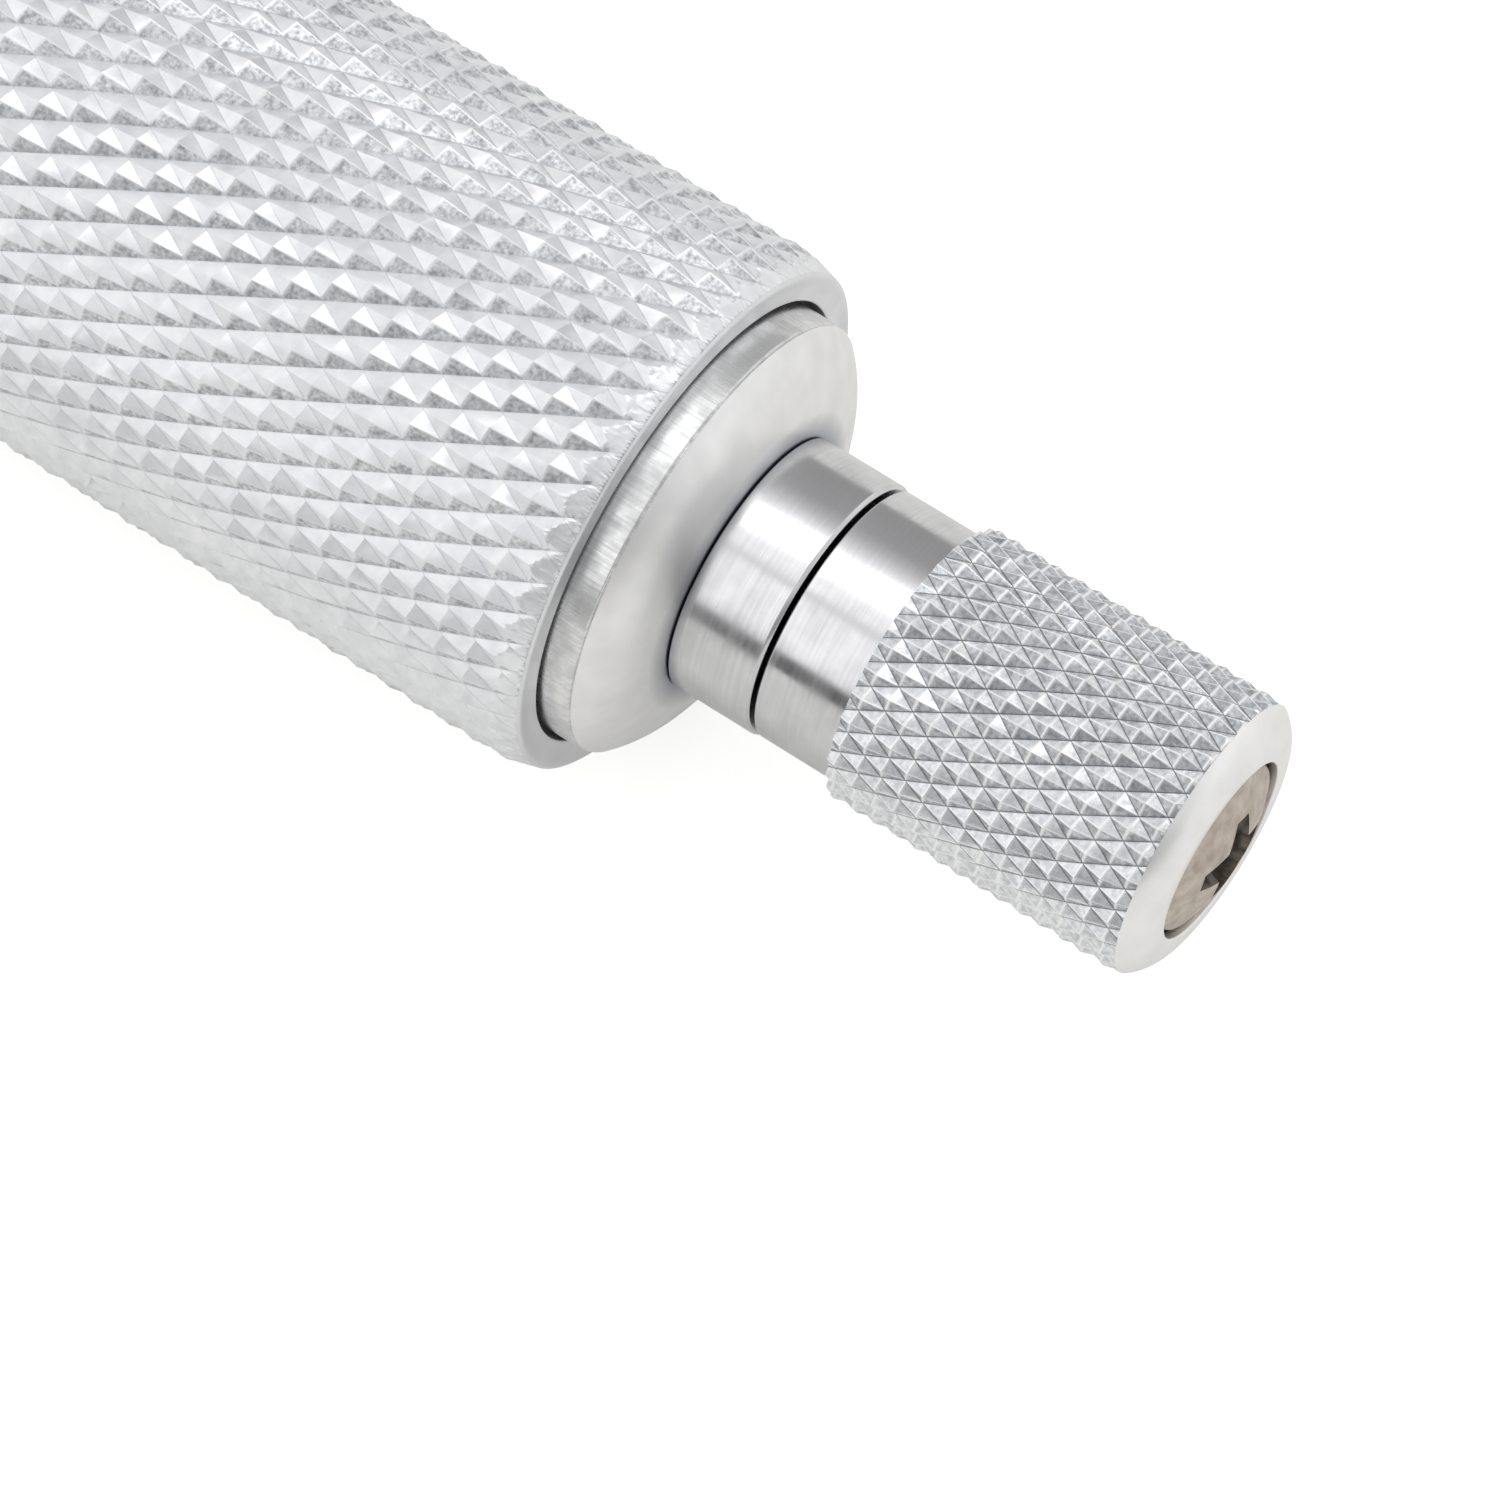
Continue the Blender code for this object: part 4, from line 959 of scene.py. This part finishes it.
@dataclass(frozen=True)
class Ratchet:
    """The ratchet stop: flange, knurled knob and end screw."""

    layout: Layout
    finishes: Finishes
    flange: float = 4.35 * MM
    waist: float = 4.276 * MM
    knob: float = 4.734 * MM
    counterbore: float = 3.03 * MM
    socket: float = 3.5 * MM
    head: float = 2.87 * MM
    crown: float = 0.58 * MM        # height of the screw's dome
    joint: float = 0.13 * MM        # open groove between flange and knob
    ahead: float = 0.09 * MM        # how far the knob is drawn forward, over the joint
    waist_length: float = 2.8 * MM
    flange_bore: float = 3.2 * MM
    end_plain: float = 0.70 * MM    # from the knurl's end to the knob's
    end_drop: float = 0.88 * MM     # of the knob's domed end
    end_flat: float = 0.25 * MM     # width of its flat ring
    fine: float = 1.2 * MM          # part of the knurl that is cut finest
    spring_bore: float = 2.0 * MM
    head_depth: float = 2.1 * MM    # from the screw's top to its seat
    recess_reach: float = 2.2 * MM  # the recess lies within this radius

    @property
    def knurl(self) -> Knurl:
        """The knob's knurl, finer than the thimble's."""
        start = self.layout.knob_front + self.waist_length
        return Knurl(right=34, left=32, right_pitch=1.4793 * MM, left_pitch=1.4846 * MM,
                     right_phase=0.845, left_phase=0.83, origin=self.layout.rim + 13.5 * MM,
                     start=start, end=self.layout.knob_end - self.end_plain, depth=0.25 * MM,
                     second=0.94, ridge=0.018 * MM, wander=0.03 * MM, crush=0.04 * MM, torn=(1, 2))

    def build(self) -> None:
        """Make the pieces."""
        self._flange()
        self._knob()
        self._screw()

    def _flange(self) -> None:
        """Make the plain ring that the knob runs against."""
        front = self.layout.dome + 0.05 * MM
        rear = self.layout.knob_front - self.ahead - self.joint
        bore = self.flange_bore
        outline = Outline().to(rear - 0.4 * MM, bore).to(rear, bore)
        outline.to(rear, self.flange - 0.09 * MM, 0.03 * MM).to(rear - 0.10 * MM, self.flange, 0.04 * MM)
        outline.to(front, self.flange, 0.05 * MM).to(front, bore).to(rear - 0.4 * MM, bore)
        Shape().turn(outline.points(), 224).finish("ratchet_flange", Body.THIMBLE,
                                                   [self.finishes.bright], Slot.ALUMINIUM)

    def _knob(self) -> None:
        """Make the knob: waist, knurl, rounded end and hollow."""
        front = self.layout.knob_front - self.ahead
        end = self.layout.knob_end
        knurl = self.knurl
        start = knurl.start
        top = crown(end, self.end_drop, self.counterbore + self.end_flat, self.knob, 24)
        blank = interpolated([(start, self.knob - 0.16 * MM), (start + 0.14 * MM, self.knob)] + top[::-1])
        wall = end - 0.35 * MM
        outline = Outline().to(wall, self.counterbore).to(end, self.counterbore, 0.06 * MM)
        outline.along(p for p in top if p[0] > knurl.end)
        outline.to(knurl.end, blank(knurl.end))
        waist = Outline().to(start, self.waist).to(front + 0.08 * MM, self.waist, 0.02 * MM)
        waist.to(front, self.waist - 0.08 * MM, 0.02 * MM).to(front, self.socket)
        waist.to(front + 6.0 * MM, self.socket)
        seat = end - 2.0 * MM
        shelf = front + 7.0 * MM
        floor = [(wall, self.counterbore), (seat, self.counterbore), (seat, self.spring_bore),
                 (shelf, self.spring_bore), (shelf, self.socket), (front + 6.0 * MM, self.socket)]
        shape = Shape().turn(outline.points(), 224, 2).turn(waist.points(), 224, 1).turn(floor, 224, 3)
        cutter = KnurlCutter(knurl, self.knob, blank)
        shape.add(cutter.cut(knurl.end - self.fine, 4, self.waist, 4))
        # The knob's hollow takes the dark finish, painted as its shade.
        looks = [self.finishes.pressed, self.finishes.bright, self.finishes.dome, self.finishes.oiled,
                 self.finishes.pressed_torn]
        shape.finish("knob_skin", Body.KNOB, looks, Slot.ALUMINIUM, ["ratchet_knob"], sharp=24.0)

    def _screw(self) -> None:
        """Make the domed screw and cut its cross recess."""
        top = self.layout.screw_top
        seat = top - self.head_depth
        brim = top - self.crown
        outline = crown(top, self.crown, 0.0, self.head - 0.16 * MM, 16)
        outline += [(brim - 0.06 * MM, self.head - 0.07 * MM), (brim - 0.14 * MM, self.head - 0.02 * MM),
                    (brim - 0.24 * MM, self.head), (seat, self.head), (seat, 0.0)]
        screw = Shape().turn(outline, 160).finish("screw_head", Body.THIMBLE,
                                                  [self.finishes.nickel, self.finishes.nickel_shade],
                                                  Slot.NICKEL, ["end_screw"])
        carve(screw, self._recess(top))
        cut = screw.data
        work = bmesh.new()
        work.from_mesh(cut)
        bmesh.ops.remove_doubles(work, verts=work.verts, dist=1e-7)
        lips = []
        for edge in work.edges:
            sharp = len(edge.link_faces) == 2 and edge.calc_face_angle(0.0) > 0.7
            inside = all(math.hypot(v.co.y, v.co.z) < self.recess_reach
                         and v.co.x > top - 0.5 * MM for v in edge.verts)
            if sharp and inside:
                lips.append(edge)
        bmesh.ops.bevel(work, geom=lips, offset=0.05 * MM, segments=2, profile=0.5,
                        material=-1, affect='EDGES', clamp_overlap=True)
        # Painted shade: the faces inside the recess take the dark nickel.
        for face in work.faces:
            middle = face.calc_center_median()
            wall = abs(face.normal.x) < 0.7 or middle.x < top - 0.6 * MM
            in_shade = wall and math.hypot(middle.y, middle.z) < self.recess_reach
            face.material_index = 1 if in_shade else 0
        work.to_mesh(cut)
        work.free()
        shade(cut, 30.0)

    def _recess(self, top: float) -> bpy.types.Object:
        """Make the cross-shaped cutter.

        Args:
            top: Place of the screw's top.

        Returns:
            The cutter.
        """
        span = 1.70 * MM
        arm = 0.34 * MM
        corner = 0.58 * MM
        first = 68.5        # degrees by which the screw stands turned
        shape = bmesh.new()
        rings = []
        for depth, share in ((-0.8 * MM, 1.2), (0.0, 1.02), (1.3 * MM, 0.5)):
            ring = []
            for quarter in range(4):
                turn = Matrix.Rotation(math.radians(first + 90 * quarter), 4, 'X')
                for y, z in ((span, -arm), (span, arm), (corner, corner)):
                    spot = turn @ Vector((0.0, y * share, z * share))
                    ring.append(shape.verts.new((top - depth, spot.y, spot.z)))
            rings.append(ring)
        for low, high in zip(rings, rings[1:]):
            count = len(low)
            for i in range(count):
                j = (i + 1) % count
                shape.faces.new((low[i], low[j], high[j], high[i]))
        shape.faces.new(rings[0])
        tip = shape.verts.new((top - 1.7 * MM, 0.0, 0.0))
        last = rings[-1]
        for i, vert in enumerate(last):
            shape.faces.new((vert, last[(i + 1) % len(last)], tip))
        bmesh.ops.recalc_face_normals(shape, faces=shape.faces)
        return link_mesh("recess_cutter", shape)


@dataclass(frozen=True)
class CadPieces:
    """Refined copies of the CAD nodes whose shape is already right."""

    nodes: dict[str, bpy.types.Object]
    finishes: Finishes
    bow: float = 26.75 * MM         # from the bow's centre to the grip plates' outer edge
    slot_width: float = 0.42 * MM
    slot_depth: float = 0.45 * MM
    slot_length: float = 4.0 * MM   # longer than a head is wide
    covered: float = 4.2 * MM       # the ratchet base is drawn in to this, under the flange

    WELD = 1.0 * MICRON
    FLAT = 0.01                     # radians up to which two faces are one
    EVEN = 0.02 * MM                # an arc's edge has both ends this nearly as far out
    SHORTEST = 0.2 * MM             # edges of an arc that are left as they are
    WIDEST = 0.35                   # longest edge of an arc, as a share of its radius

    def _refine(self, work: bmesh.types.BMesh, centre: Vector, axis: int) -> None:
        """Make the coarse arcs round an axis finer.

        Args:
            work: The mesh.
            centre: A point on the axis.
            axis: 0 for an axis along X, 2 for one along Z.
        """
        reach = work.verts.layers.float.new("reach")
        known = set(work.verts)
        flat = {}
        for vert in work.verts:
            across = vert.co - centre
            across[axis] = 0.0
            flat[vert] = across
            vert[reach] = across.length
        arcs = []
        for edge in work.edges:
            one, two = (flat[v] for v in edge.verts)
            chord = (one - two).length
            even = abs(one.length - two.length) < self.EVEN
            if even and self.SHORTEST < chord < self.WIDEST * one.length:
                arcs.append(edge)
        bmesh.ops.subdivide_edges(work, edges=arcs, cuts=3)
        for vert in work.verts:
            across = vert.co - centre
            across[axis] = 0.0
            if vert not in known and across.length > 0.0:
                vert.co += across * (vert[reach] / across.length - 1.0)

    def dress(self, node: str, body: Body, look: bpy.types.Material, slot: Slot,
              sharp: float = 24.0, centre: Vector | None = None, axis: int = 0,
              within: float | None = None) -> bpy.types.Object:
        """Copy a node, merge its triangles, make its arcs finer and give it a finish.

        Args:
            node: Name of the CAD node.
            body: Body it rides on.
            look: Its finish.
            slot: Material slot of the record.
            sharp: Angle in degrees above which an edge stays sharp.
            centre: A point on the axis of its arcs, if they are to be finer.
            axis: 0 for an axis along X, 2 for one along Z.
            within: Radius that it is drawn in to, where another piece covers it.

        Returns:
            The piece.
        """
        shape = Shape()
        shape.mesh.from_mesh(self.nodes[node].data)
        work = shape.mesh
        bmesh.ops.remove_doubles(work, verts=work.verts, dist=self.WELD)
        bmesh.ops.dissolve_limit(work, angle_limit=self.FLAT, verts=work.verts, edges=work.edges)
        if centre is not None:
            self._refine(work, centre, axis)
            low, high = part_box(node)
            for vert in work.verts:
                for way in range(3):
                    vert.co[way] = min(max(vert.co[way], low[way]), high[way])
        if within is not None:
            for vert in work.verts:
                radius = math.hypot(vert.co.y, vert.co.z)
                if radius > within:
                    vert.co.y *= within / radius
                    vert.co.z *= within / radius
        bmesh.ops.triangulate(work, faces=[f for f in work.faces if len(f.verts) > 4])
        for face in work.faces:
            face.material_index = 0
        return shape.finish(node + "_skin", body, [look], slot, [node], sharp=sharp)

    def _plate_screw(self, number: int) -> None:
        """Dress a plate screw and cut its slot.

        Args:
            number: Which of the four it is.
        """
        node = f"plate_screw_{number}"
        low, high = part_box(node)
        middle = (low + high) / 2
        head = high.z if middle.z > 0.0 else low.z
        screw = self.dress(node, Body.FRAME, self.finishes.steel, Slot.STEEL, 30.0, middle, 2)
        slot = bmesh.new()
        turn = Matrix.Rotation(math.radians(25 + 50 * number), 4, 'Z')
        size = Matrix.Diagonal((self.slot_length, self.slot_width, 2 * self.slot_depth, 1.0))
        place = Matrix.Translation((middle.x, middle.y, head))
        bmesh.ops.create_cube(slot, size=1.0, matrix=place @ turn @ size)
        carve(screw, link_mesh("slot_cutter", slot))
        shade(screw.data, 30.0)

    def build(self) -> None:
        """Dress every node that isn't rebuilt elsewhere."""
        look = self.finishes
        frame = Body.FRAME
        low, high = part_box("front_grip_plate")
        bow = Vector(((low.x + high.x) / 2, low.y + self.bow, 0.0))
        spindle = Vector((0.0, 0.0, 0.0))
        self.dress("frame", frame, look.enamel, Slot.ENAMEL, 30.0, bow, 2)
        self.dress("anvil", frame, look.steel, Slot.STEEL, 24.0, spindle)
        self.dress("anvil_tip", frame, look.carbide, Slot.CARBIDE, 24.0, spindle)
        for plate in ("front_grip_plate", "rear_grip_plate"):
            self.dress(plate, frame, look.plastic, Slot.PLASTIC, 30.0, bow, 2)
        for number in range(1, 5):
            self._plate_screw(number)
        self.dress("inner_sleeve", frame, look.steel, Slot.STEEL)
        self.dress("adjusting_nut", frame, look.brass, Slot.BRASS)
        self.dress("outer_sleeve", frame, look.chrome, Slot.CHROME, 24.0, spindle)
        self.dress("lock_shoe", frame, look.brass, Slot.BRASS)
        self.dress("lock_stud", Body.LOCK, look.steel, Slot.STEEL)
        self.dress("lock_lever", Body.LOCK, look.chrome, Slot.CHROME)
        self.dress("spindle", Body.THIMBLE, look.steel, Slot.STEEL, 24.0, spindle)
        self.dress("spindle_tip", Body.SPINDLE, look.carbide, Slot.CARBIDE, 24.0, spindle)
        # The ratchet base, seen only through the joint, is painted dark as its shade.
        self.dress("ratchet_base", Body.THIMBLE, look.oiled, Slot.ALUMINIUM, within=self.covered)
        self.dress("click_ring", Body.CLICK, look.steel, Slot.STEEL)
        self.dress("ratchet_spring", Body.KNOB, look.steel, Slot.STEEL, 60.0)


class Scale:
    """Graduations and numbers, laid on a turned surface."""

    HEIGHT = 0.008 * MM     # of the filler over the metal
    FONT_SHARE = 1.4        # font size over the height of its digits

    def __init__(self, surface: Callable[[float], float]) -> None:
        """Set up the scale.

        Args:
            surface: Radius of the surface at a place along the axis.
        """
        self.surface = surface
        self.work = bmesh.new()

    def _point(self, x: float, angle: float) -> Vector:
        """Find a spot on the surface, by its place and its angle from +Z towards +Y."""
        radius = self.surface(x) + self.HEIGHT
        return Vector((x, radius * math.sin(angle), radius * math.cos(angle)))

    def patch(self, low: float, high: float, first: float, last: float, steps: int = 1) -> None:
        """Lay a strip on the surface.

        Args:
            low: Its start along the axis.
            high: Its end along the axis.
            first: First angle from +Z towards +Y.
            last: Last angle.
            steps: Faces round the axis.
        """
        for i in range(steps):
            near = first + (last - first) * i / steps
            far = first + (last - first) * (i + 1) / steps
            corners = [self._point(low, near), self._point(high, near),
                       self._point(high, far), self._point(low, far)]
            self.work.faces.new([self.work.verts.new(c) for c in corners])

    def number(self, text: str, x: float, angle: float, size: float) -> None:
        """Lay a plain number on the surface, reading along the axis.

        Args:
            text: The digits.
            x: Middle of the number along the axis.
            angle: Its middle, from +Z towards +Y.
            size: Height of the digits.
        """
        curve = bpy.data.curves.new("digits", 'FONT')
        curve.body = text
        curve.size = size * self.FONT_SHARE
        curve.align_x = 'CENTER'
        curve.align_y = 'CENTER'
        curve.resolution_u = 3
        holder = link("digits", curve)
        flat = evaluated(holder)
        radius = self.surface(x)
        for vert in flat.vertices:
            vert.co = self._point(x + vert.co.x, angle + vert.co.y / radius)
        self.work.from_mesh(flat)
        bpy.data.objects.remove(holder, do_unlink=True)
        bpy.data.curves.remove(curve)
        bpy.data.meshes.remove(flat)

    def finish(self, name: str, body: Body, look: bpy.types.Material) -> None:
        """Turn the scale into a piece.

        Args:
            name: Name of the piece.
            body: Body it rides on.
            look: Its finish.
        """
        shape = Shape().add(self.work, 0)
        shape.mesh.normal_update()
        for face in shape.mesh.faces:
            middle = face.calc_center_median()
            if face.normal.dot(Vector((0.0, middle.y, middle.z))) < 0:
                face.normal_flip()
        shape.finish(name, body, [look], Slot.CHROME, recalculate=False)


@dataclass(frozen=True)
class Graduations:
    """The sleeve's and the thimble's scales."""

    layout: Layout
    thimble: Thimble
    ink: bpy.types.Material
    sleeve: float = 7.44 * MM
    line: float = 0.10 * MM
    digit: float = 1.5 * MM
    short: float = 1.6 * MM
    long: float = 2.6 * MM          # every fifth line of the sleeve
    long_round: float = 2.4 * MM    # and of the thimble
    row: float = 3.7 * MM           # where the numbers stand
    spare: float = 1.5 * MM         # the long line's reach in front of zero
    travel: int = 25
    steps: int = 50                 # lines round the thimble
    every: int = 5                  # lines from number to number

    def build(self) -> None:
        """Make both scales."""
        self._sleeve()
        self._thimble()

    def _sleeve(self) -> None:
        """Mark millimetres above the line and half millimetres below it."""
        scale = Scale(lambda x: self.sleeve)
        zero = self.layout.zero_line
        half = self.line / 2
        wide = half / self.sleeve
        scale.patch(zero - self.spare, zero + (self.travel + 0.5) * MM, -wide, wide)
        for step in range(self.travel + 1):
            x = zero + step * MM
            numbered = step % self.every == 0
            reach = (self.long if numbered else self.short) / self.sleeve
            scale.patch(x - half, x + half, wide, reach, 4)
            if numbered:
                scale.number(str(step), x, self.row / self.sleeve, self.digit)
            if step < self.travel:
                x += 0.5 * MM
                scale.patch(x - half, x + half, -self.short / self.sleeve, -wide, 4)
        scale.finish("sleeve_scale", Body.FRAME, self.ink)

    def _thimble(self) -> None:
        """Mark fifty hundredths of a millimetre round the bevel."""
        edge = self.layout.edge
        shape = self.thimble
        cone = interpolated([(edge, shape.bevel_edge), (edge + shape.bevel_length, shape.barrel),
                             (edge + 9 * MM, shape.barrel)])
        scale = Scale(cone)
        wide = self.line / 2 / shape.bevel_edge
        for step in range(self.steps):
            angle = math.tau * step / self.steps
            numbered = step % self.every == 0
            reach = self.long_round if numbered else self.short
            scale.patch(edge + 0.1 * MM, edge + reach, angle - wide, angle + wide)
            if numbered:
                scale.number(str(step), edge + self.row, angle, self.digit)
        scale.finish("thimble_scale", Body.THIMBLE, self.ink)


@dataclass(frozen=True)
class Studio:
    """White floor, soft light and the camera."""

    rim: float
    floor: float
    azimuth: float = math.radians(35.13)
    elevation: float = math.radians(62.0)
    lens: float = 180.0
    sensor: float = 36.0
    distance: float = 222.9 * MM
    aim: tuple[float, float, float] = (6.02 * MM, -5.24 * MM, 0.0)
    # Light round the measuring axis as pairs of a share of a turn, from +Y over +Z, and a level:
    # as seen square to the axis, by what faces the frame, and by what faces the screw.
    across: tuple[Point, ...] = ((0.0, 0.36), (0.11, 0.40), (0.14, 0.60), (0.165, 0.95), (0.185, 1.35),
                                 (0.295, 1.35), (0.314, 0.75), (0.325, 1.22), (0.33, 1.30), (0.42, 1.27),
                                 (0.45, 1.05), (0.463, 0.29), (0.470, 0.14), (0.50, 0.14), (0.51, 0.50),
                                 (0.53, 0.75), (0.66, 0.70), (0.74, 0.45), (0.80, 0.60), (0.86, 0.80),
                                 (0.95, 0.68))
    front: tuple[Point, ...] = ((0.0, 0.80), (0.08, 0.77), (0.16, 0.80), (0.27, 0.95), (0.34, 1.02),
                                (0.42, 1.0), (0.47, 0.95), (0.52, 0.82), (0.62, 0.66), (0.70, 0.60),
                                (0.78, 0.60), (0.86, 0.80), (0.94, 0.80))
    rear: tuple[Point, ...] = ((0.0, 0.98), (0.06, 0.95), (0.12, 0.88), (0.167, 0.84), (0.20, 0.76),
                               (0.27, 0.72), (0.30, 0.75), (0.333, 0.68), (0.37, 0.50), (0.42, 0.37),
                               (0.50, 0.38), (0.62, 0.50), (0.70, 0.50), (0.78, 0.60), (0.86, 0.80),
                               (0.94, 0.92))
    handover: Point = (-0.45, 0.28)     # X of the directions between which front turns into rear
    lean: float = 0.27                  # how far the light across leans towards the frame
    fading: Point = (0.07, 0.18)        # how far from that X the light across fades out
    tint: float = 1.01                  # blue of the light
    floor_tone: str = "E6E5E2"
    floor_seen: float = 0.62            # glow that makes the floor white to the camera
    floor_mirrored: float = 0.12        # and in the metal
    power: float = 0.3

    def build(self) -> None:
        """Make the studio."""
        self._camera()
        self._world()
        self._floor()
        self._lights()
        bpy.context.scene.view_settings.view_transform = 'Standard'

    def _camera(self) -> None:
        """Set up the camera as it stood for the photograph."""
        level = math.cos(self.elevation)
        back = Vector((math.sin(self.azimuth) * level, -math.cos(self.azimuth) * level,
                       math.sin(self.elevation)))
        data = bpy.data.cameras.new("camera")
        data.lens = self.lens
        data.sensor_width = self.sensor
        data.clip_start = 0.01
        data.clip_end = 10.0
        camera = link("camera", data)
        camera.location = Vector(self.aim) + Vector((self.rim, 0.0, 0.0)) + back * self.distance
        camera.rotation_euler = back.to_track_quat('Z', 'Y').to_euler()
        bpy.context.scene.camera = camera

    def _world(self) -> None:
        """Surround the piece with long soft boxes, and show plain white to the camera."""
        world = bpy.data.worlds.new("studio")
        bpy.context.scene.world = world
        nodes = NodeTree(world)
        direction = nodes.add("TexCoord", output="Generated")
        split = nodes.add("SeparateXYZ", {0: direction}).node
        turn = nodes.add("Math", {0: split.outputs["Z"], 1: split.outputs["Y"]}, operation='ARCTAN2')
        share = nodes.add("Math", {0: nodes.add("Math", {0: turn, 1: math.tau}, operation='DIVIDE')},
                          operation='FRACT')
        across, front, rear = (self._ramp(nodes, share, row) for row in (self.across, self.front, self.rear))
        low, high = self.handover
        side = nodes.add("MapRange", {"Value": split.outputs["X"], "From Min": low, "From Max": high},
                         "Result")
        ends = nodes.add("Mix", {"Factor": side, "A": front, "B": rear}, "Result", data_type='RGBA')
        lean = nodes.add("Math", {0: split.outputs["X"], 1: self.lean}, operation='ADD')
        off = nodes.add("Math", {0: lean}, operation='ABSOLUTE')
        near, far = self.fading
        tilted = nodes.add("MapRange", {"Value": off, "From Min": near, "From Max": far}, "Result")
        light = nodes.add("Mix", {"Factor": tilted, "A": across, "B": ends}, "Result",
                          data_type='RGBA')
        seen = nodes.add("LightPath", output="Is Camera Ray")
        white = (1.0, 1.0, 1.0, 1.0)
        shown = nodes.add("Mix", {"Factor": seen, "A": light, "B": white}, "Result",
                          data_type='RGBA')
        nodes.feed(world.node_tree.nodes["Background"], {"Color": shown})

    def _ramp(self, nodes: NodeTree, share: bpy.types.NodeSocket,
              row: Sequence[Point]) -> bpy.types.NodeSocket:
        """Spread a row of levels round the axis.

        Args:
            nodes: Nodes of the world.
            share: Direction round the axis, as a share of a turn.
            row: Pairs of such a share and a level.

        Returns:
            The light's colour.
        """
        ramp = nodes.add("ValToRGB", {"Fac": share})
        stops = ramp.node.color_ramp.elements
        stops[0].position = row[0][0]
        stops[1].position = row[-1][0]
        for place, _ in row[1:-1]:
            stops.new(place)
        for stop, (_, level) in zip(stops, row):
            stop.color = (level, level, level * self.tint, 1.0)
        return ramp

    def _floor(self) -> None:
        """Lay the white floor, which takes the shadow."""
        shape = bmesh.new()
        bmesh.ops.create_grid(shape, x_segments=8, y_segments=8, size=1.5)
        floor = link_mesh("floor", shape)
        floor.location = (0.05, 0.0, self.floor)
        material = bpy.data.materials.new("floor_white")
        nodes = NodeTree(material)
        path = nodes.add("LightPath").node.outputs
        glossy = nodes.add("Math", {0: path["Is Glossy Ray"], 1: path["Is Transmission Ray"]},
                           operation='MAXIMUM')
        mirrored = nodes.add("Math", {0: glossy, 1: self.floor_mirrored}, operation='MULTIPLY')
        glow = nodes.add("Math", {0: path["Is Camera Ray"], 1: self.floor_seen, 2: mirrored},
                         operation='MULTIPLY_ADD')
        nodes.feed(material.node_tree.nodes["Principled BSDF"],
                   {"Base Color": linear(self.floor_tone), "Roughness": 0.9,
                    "Emission Strength": glow, "Emission Color": (1.0, 1.0, 1.0, 1.0)})
        floor.data.materials.append(material)
        floor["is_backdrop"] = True

    def _lights(self) -> None:
        """Hang one large soft lamp over the piece."""
        data = bpy.data.lights.new("key", 'AREA')
        data.shape = 'RECTANGLE'
        data.size = 0.5
        data.size_y = 0.25
        data.energy = self.power
        light = link("key", data)
        light.location = (0.05, 0.15, 0.6)
        aim = Vector((0.1, 0.0, 0.0)) - light.location
        light.rotation_euler = aim.to_track_quat('-Z', 'Y').to_euler()


def main() -> None:
    """Build the scene."""
    logging.basicConfig(level=logging.INFO, format="%(message)s")
    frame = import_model()
    cad_box = [list(corner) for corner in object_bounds()]
    layout = Layout.read()
    finishes = Finishes()
    thimble = Thimble(layout, finishes)
    thimble.build()
    Collar(layout, finishes).build()
    Ratchet(layout, finishes).build()
    CadPieces(frame["nodes"], finishes).build()
    Graduations(layout, thimble, finishes.ink).build()
    Studio(layout.rim, cad_box[0][2]).build()


if __name__ == "__main__":
    main()
